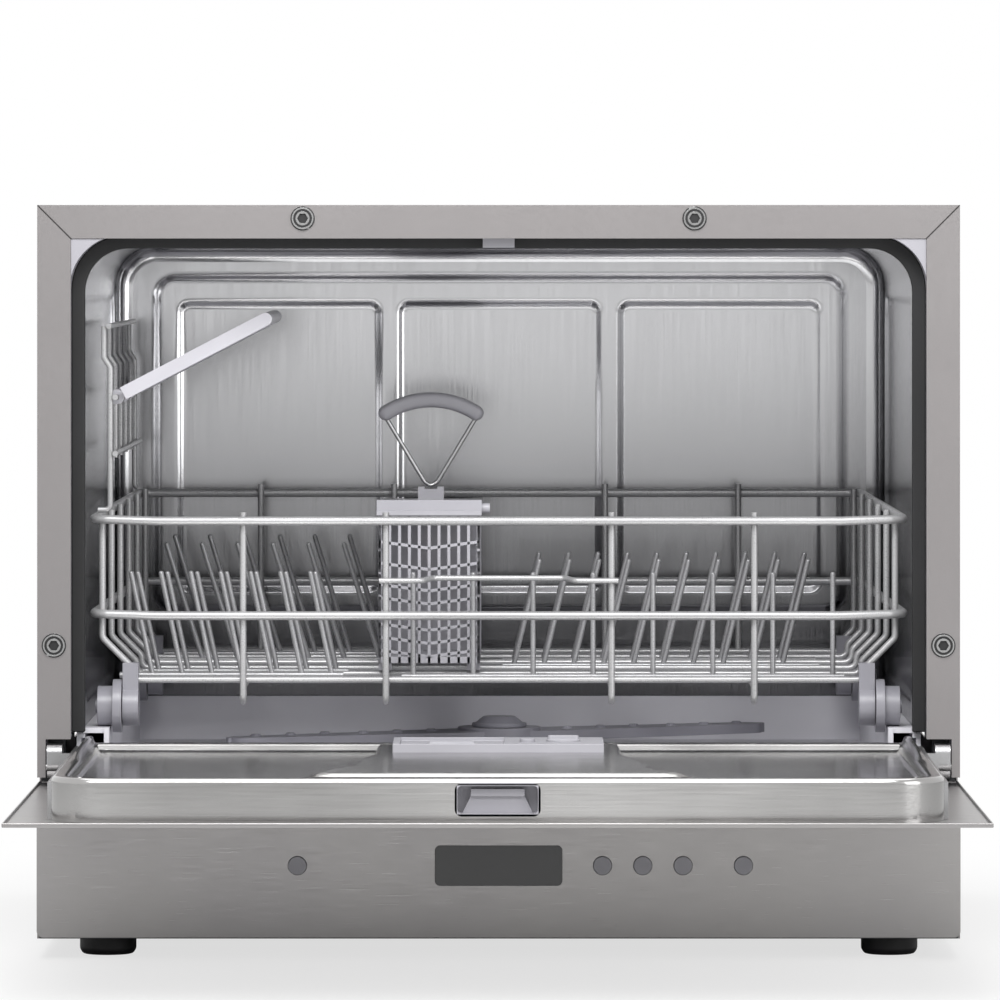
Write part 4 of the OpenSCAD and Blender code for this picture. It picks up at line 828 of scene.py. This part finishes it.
def linerMesh():
    heights = [liner["foot"], liner["pocketLow"], liner["pocketHigh"],
               liner["rim"] - liner["roll"]]
    loops = [[(x, y, z) for x, y in linerOutline(0)] for z in heights]
    for i in range(1, 8):
        d = liner["roll"] * (1 - cos(pi / 2 * i / 7))
        loops.append([(x, y, linerHeight(x, y)) for x, y in linerOutline(d)])
    for d in (4.5, 6.5, 8.5, 9.5, 10.5, 11.5, liner["inner"]):
        loops.append([(x, y, linerHeight(x, y)) for x, y in linerOutline(d)])
    count = len(loops[0])
    points = [place(*p) for loop in loops for p in loop]
    faces = []
    for i in range(len(loops) - 1):
        for j in range(count):
            k = (j + 1) % count
            low, high = loops[0][j], loops[0][k]
            hole = (i == 1 and abs(low[1] - liner["near"]) < 0.1
                    and max(abs(low[0]), abs(high[0])) <= liner["pocketHalf"] + 0.01)
            if not hole:
                faces.append((i * count + j, i * count + k, (i + 1) * count + k,
                              (i + 1) * count + j))
    skirt = bpy.data.meshes.new("linerSkirt")
    skirt.from_pydata(points, [], faces)
    x = liner["half"] - liner["inner"]
    xs = gridLines(-x, x, [-104, -72, 72, 104, -x, x], 9, 1.6, 9)
    ys = gridLines(liner["near"] + liner["inner"], liner["far"] - liner["inner"],
                   [liner["near"] + 12, -46, liner["far"] - 12], 9, 1.6, 5)
    x0, y0, x1, y1 = liner["dispenser"]
    rows = [[place(u, v, linerHeight(u, v)) for u in xs] for v in ys]
    wide = len(xs)
    floorPoints = [p for row in rows for p in row]
    floorFaces = []
    for i in range(len(ys) - 1):
        for j in range(wide - 1):
            if not (x0 + 3 < xs[j] and xs[j + 1] < x1 - 3
                    and y0 + 3 < ys[i] and ys[i + 1] < y1 - 3):
                floorFaces.append((i * wide + j, i * wide + j + 1, (i + 1) * wide + j + 1,
                                   (i + 1) * wide + j))
    pan = bpy.data.meshes.new("linerPan")
    pan.from_pydata(floorPoints, [], floorFaces)
    return joined("doorLining", [skirt, pan])


doorLining = linerMesh()
bm = bmesh.new()
bm.from_mesh(doorLining)
bmesh.ops.remove_doubles(bm, verts=bm.verts, dist=0.00002)
bmesh.ops.recalc_face_normals(bm, faces=bm.faces)
if sum(f.normal.z * f.calc_area() for f in bm.faces) < 0:
    bmesh.ops.reverse_faces(bm, faces=bm.faces)
bm.to_mesh(doorLining)
bm.free()
doorLining = finished("doorLining", doorLining, [
    ("SOLIDIFY", dict(thickness=0.8 * mm, offset=-1.0))])
doorLining.shade_smooth()
doorLining.set_sharp_from_angle(angle=radians(60))
addPiece("doorLining", doorLining, "door", "liner", ("door_liner",))
print("door liner", len(doorLining.polygons))

# ---- solids whose edges are only rounded ----

edgeWidths = {
    0.3: "top_panel side_panel_left side_panel_right",
    0.5: "fascia tub_floor cup_shelf spray_arm arm_cap dispenser_body dispenser_lid"
         " dispenser_button rinse_cap power_button start_button option_button_1 option_button_2"
         " option_button_3 wheel_front_left wheel_front_right wheel_rear_left wheel_rear_right"
         " hinge_arms filter_cup lock_hook strike_pocket bezel",
    1.0: "wheel_clips feet",
    0.8: "door_skin door_seals",
    0.25: "basket_lid frame_screws",
}
pieces = {node: softened(node, width) for width, names in edgeWidths.items()
          for node in names.split()}
print("softened solids")

# ---- painted shade in the hollows of the frame screws: a colour on the faces, not a form ----

screw = {"across": 117.0, "top": 442.0, "side": 265.5, "sideHeight": 187.0, "socket": 3.4,
         "groove": (4.1, 5.7), "face": -2.0}


def paintScrewHollowShade(mesh):
    # The socket's and the groove's faces, found by their distance from each screw's axis, take the
    # black rubber finish as painted shade.
    mesh.materials.append(finishes["rubber"])
    axes = [place(side * x, 0, z) for side in (-1, 1)
            for x, z in ((screw["across"], screw["top"]), (screw["side"], screw["sideHeight"]))]
    for polygon in mesh.polygons:
        spot = polygon.center
        away = min(hypot(spot.x - a.x, spot.z - a.z) for a in axes) / mm
        deep = spot.y / mm - frontY > screw["face"]
        if deep and (away < screw["socket"] or screw["groove"][0] < away < screw["groove"][1]):
            polygon.material_index = 1


paintScrewHollowShade(pieces["frame_screws"].data)

# ---- floor, light and camera ----

studio = {"focal": 283.4, "distance": 4700.0, "cameraX": 8.0, "horizonZ": 426.1,
          "horizonRow": 245.0, "vanishColumn": 512.0, "picture": 1000.0}

scene = bpy.context.scene
scene.view_settings.view_transform = "Standard"
cameraData = bpy.data.cameras.new("camera")
camera = bpy.data.objects.new("camera", cameraData)
scene.collection.objects.link(camera)
camera.location = place(studio["cameraX"], -studio["distance"], studio["horizonZ"])
camera.rotation_euler = (radians(90), 0, 0)
cameraData.sensor_width = 36.0
cameraData.lens = studio["focal"]
cameraData.shift_x = (studio["picture"] / 2 - studio["vanishColumn"]) / studio["picture"]
cameraData.shift_y = -(studio["picture"] / 2 - studio["horizonRow"]) / studio["picture"]
cameraData.clip_end = 100.0
scene.camera = camera

floorMesh = bpy.data.meshes.new("studioFloor")
floorMesh.from_pydata([(-8, -8, 0), (8, -8, 0), (8, 8, 0), (-8, 8, 0)], [], [(0, 1, 2, 3)])
studioFloor = bpy.data.objects.new("studioFloor", floorMesh)
scene.collection.objects.link(studioFloor)
floorPaint, floorTree, floorShader, floorWhere = startMaterial("paleStudioFloor", Roughness=0.9)
floorShader.inputs["Base Color"].default_value = linear("#f2f2f2")
rays = addNode(floorTree, "ShaderNodeLightPath")
away = addNode(floorTree, "ShaderNodeVectorMath", links={0: floorWhere}, operation="LENGTH")
fade = remap(floorTree, away.outputs["Value"], 0.3, 0.9, (0.7, 1.0), smooth=True)
seen = addNode(floorTree, "ShaderNodeMath", links={0: rays.outputs["Is Camera Ray"], 1: fade},
               operation="MULTIPLY")
glow = addNode(floorTree, "ShaderNodeEmission", {"Color": (1, 1, 1, 1), "Strength": 1.0})
mixer = addNode(floorTree, "ShaderNodeMixShader", links={0: seen.outputs[0]})
floorTree.links.new(floorShader.outputs[0], mixer.inputs[1])
floorTree.links.new(glow.outputs[0], mixer.inputs[2])
floorTree.links.new(mixer.outputs[0], floorTree.nodes["Material Output"].inputs["Surface"])
floorMesh.materials.append(floorPaint)

world = bpy.data.worlds.new("studioWorld")
scene.world = world
world.use_nodes = True
sky = world.node_tree
background = sky.nodes["Background"]
path = addNode(sky, "ShaderNodeLightPath")
white = addNode(sky, "ShaderNodeMath", links={0: path.outputs["Is Camera Ray"],
                                              1: path.outputs["Is Glossy Ray"]},
                operation="MAXIMUM")
white = addNode(sky, "ShaderNodeMath", links={0: white.outputs[0],
                                              1: path.outputs["Is Transmission Ray"]},
                operation="MAXIMUM")
level = addNode(sky, "ShaderNodeMapRange", {"To Min": 0.45, "To Max": 1.0},
                {"Value": white.outputs[0]})
background.inputs["Color"].default_value = (1, 1, 1, 1)
sky.links.new(level.outputs[0], background.inputs["Strength"])

lamps = {
    "keyLamp": dict(where=(-300, -1500, 1500), aim=(0, 100, 250), size=(1.4, 0.9), power=26),
    "fillLamp": dict(where=(1300, -1500, 700), aim=(0, 100, 250), size=(1.0, 1.2), power=12),
    "topLamp": dict(where=(0, 300, 1900), aim=(0, 100, 200), size=(1.6, 1.2), power=15),
    # Reaches the tub's floor through the mouth, under the casing's top.
    "mouthLamp": dict(where=(0, -700, 1000), aim=(0, 200, 130), size=(0.6, 0.3), power=5),
}
for name, settings in lamps.items():
    data = bpy.data.lights.new(name, "AREA")
    data.shape = "RECTANGLE"
    data.size, data.size_y = settings["size"]
    data.energy = settings["power"]
    lamp = bpy.data.objects.new(name, data)
    scene.collection.objects.link(lamp)
    lamp.location = place(*settings["where"])
    aim = place(*settings["aim"]) - lamp.location
    lamp.rotation_euler = aim.to_track_quat("-Z", "Y").to_euler()
print("studio")
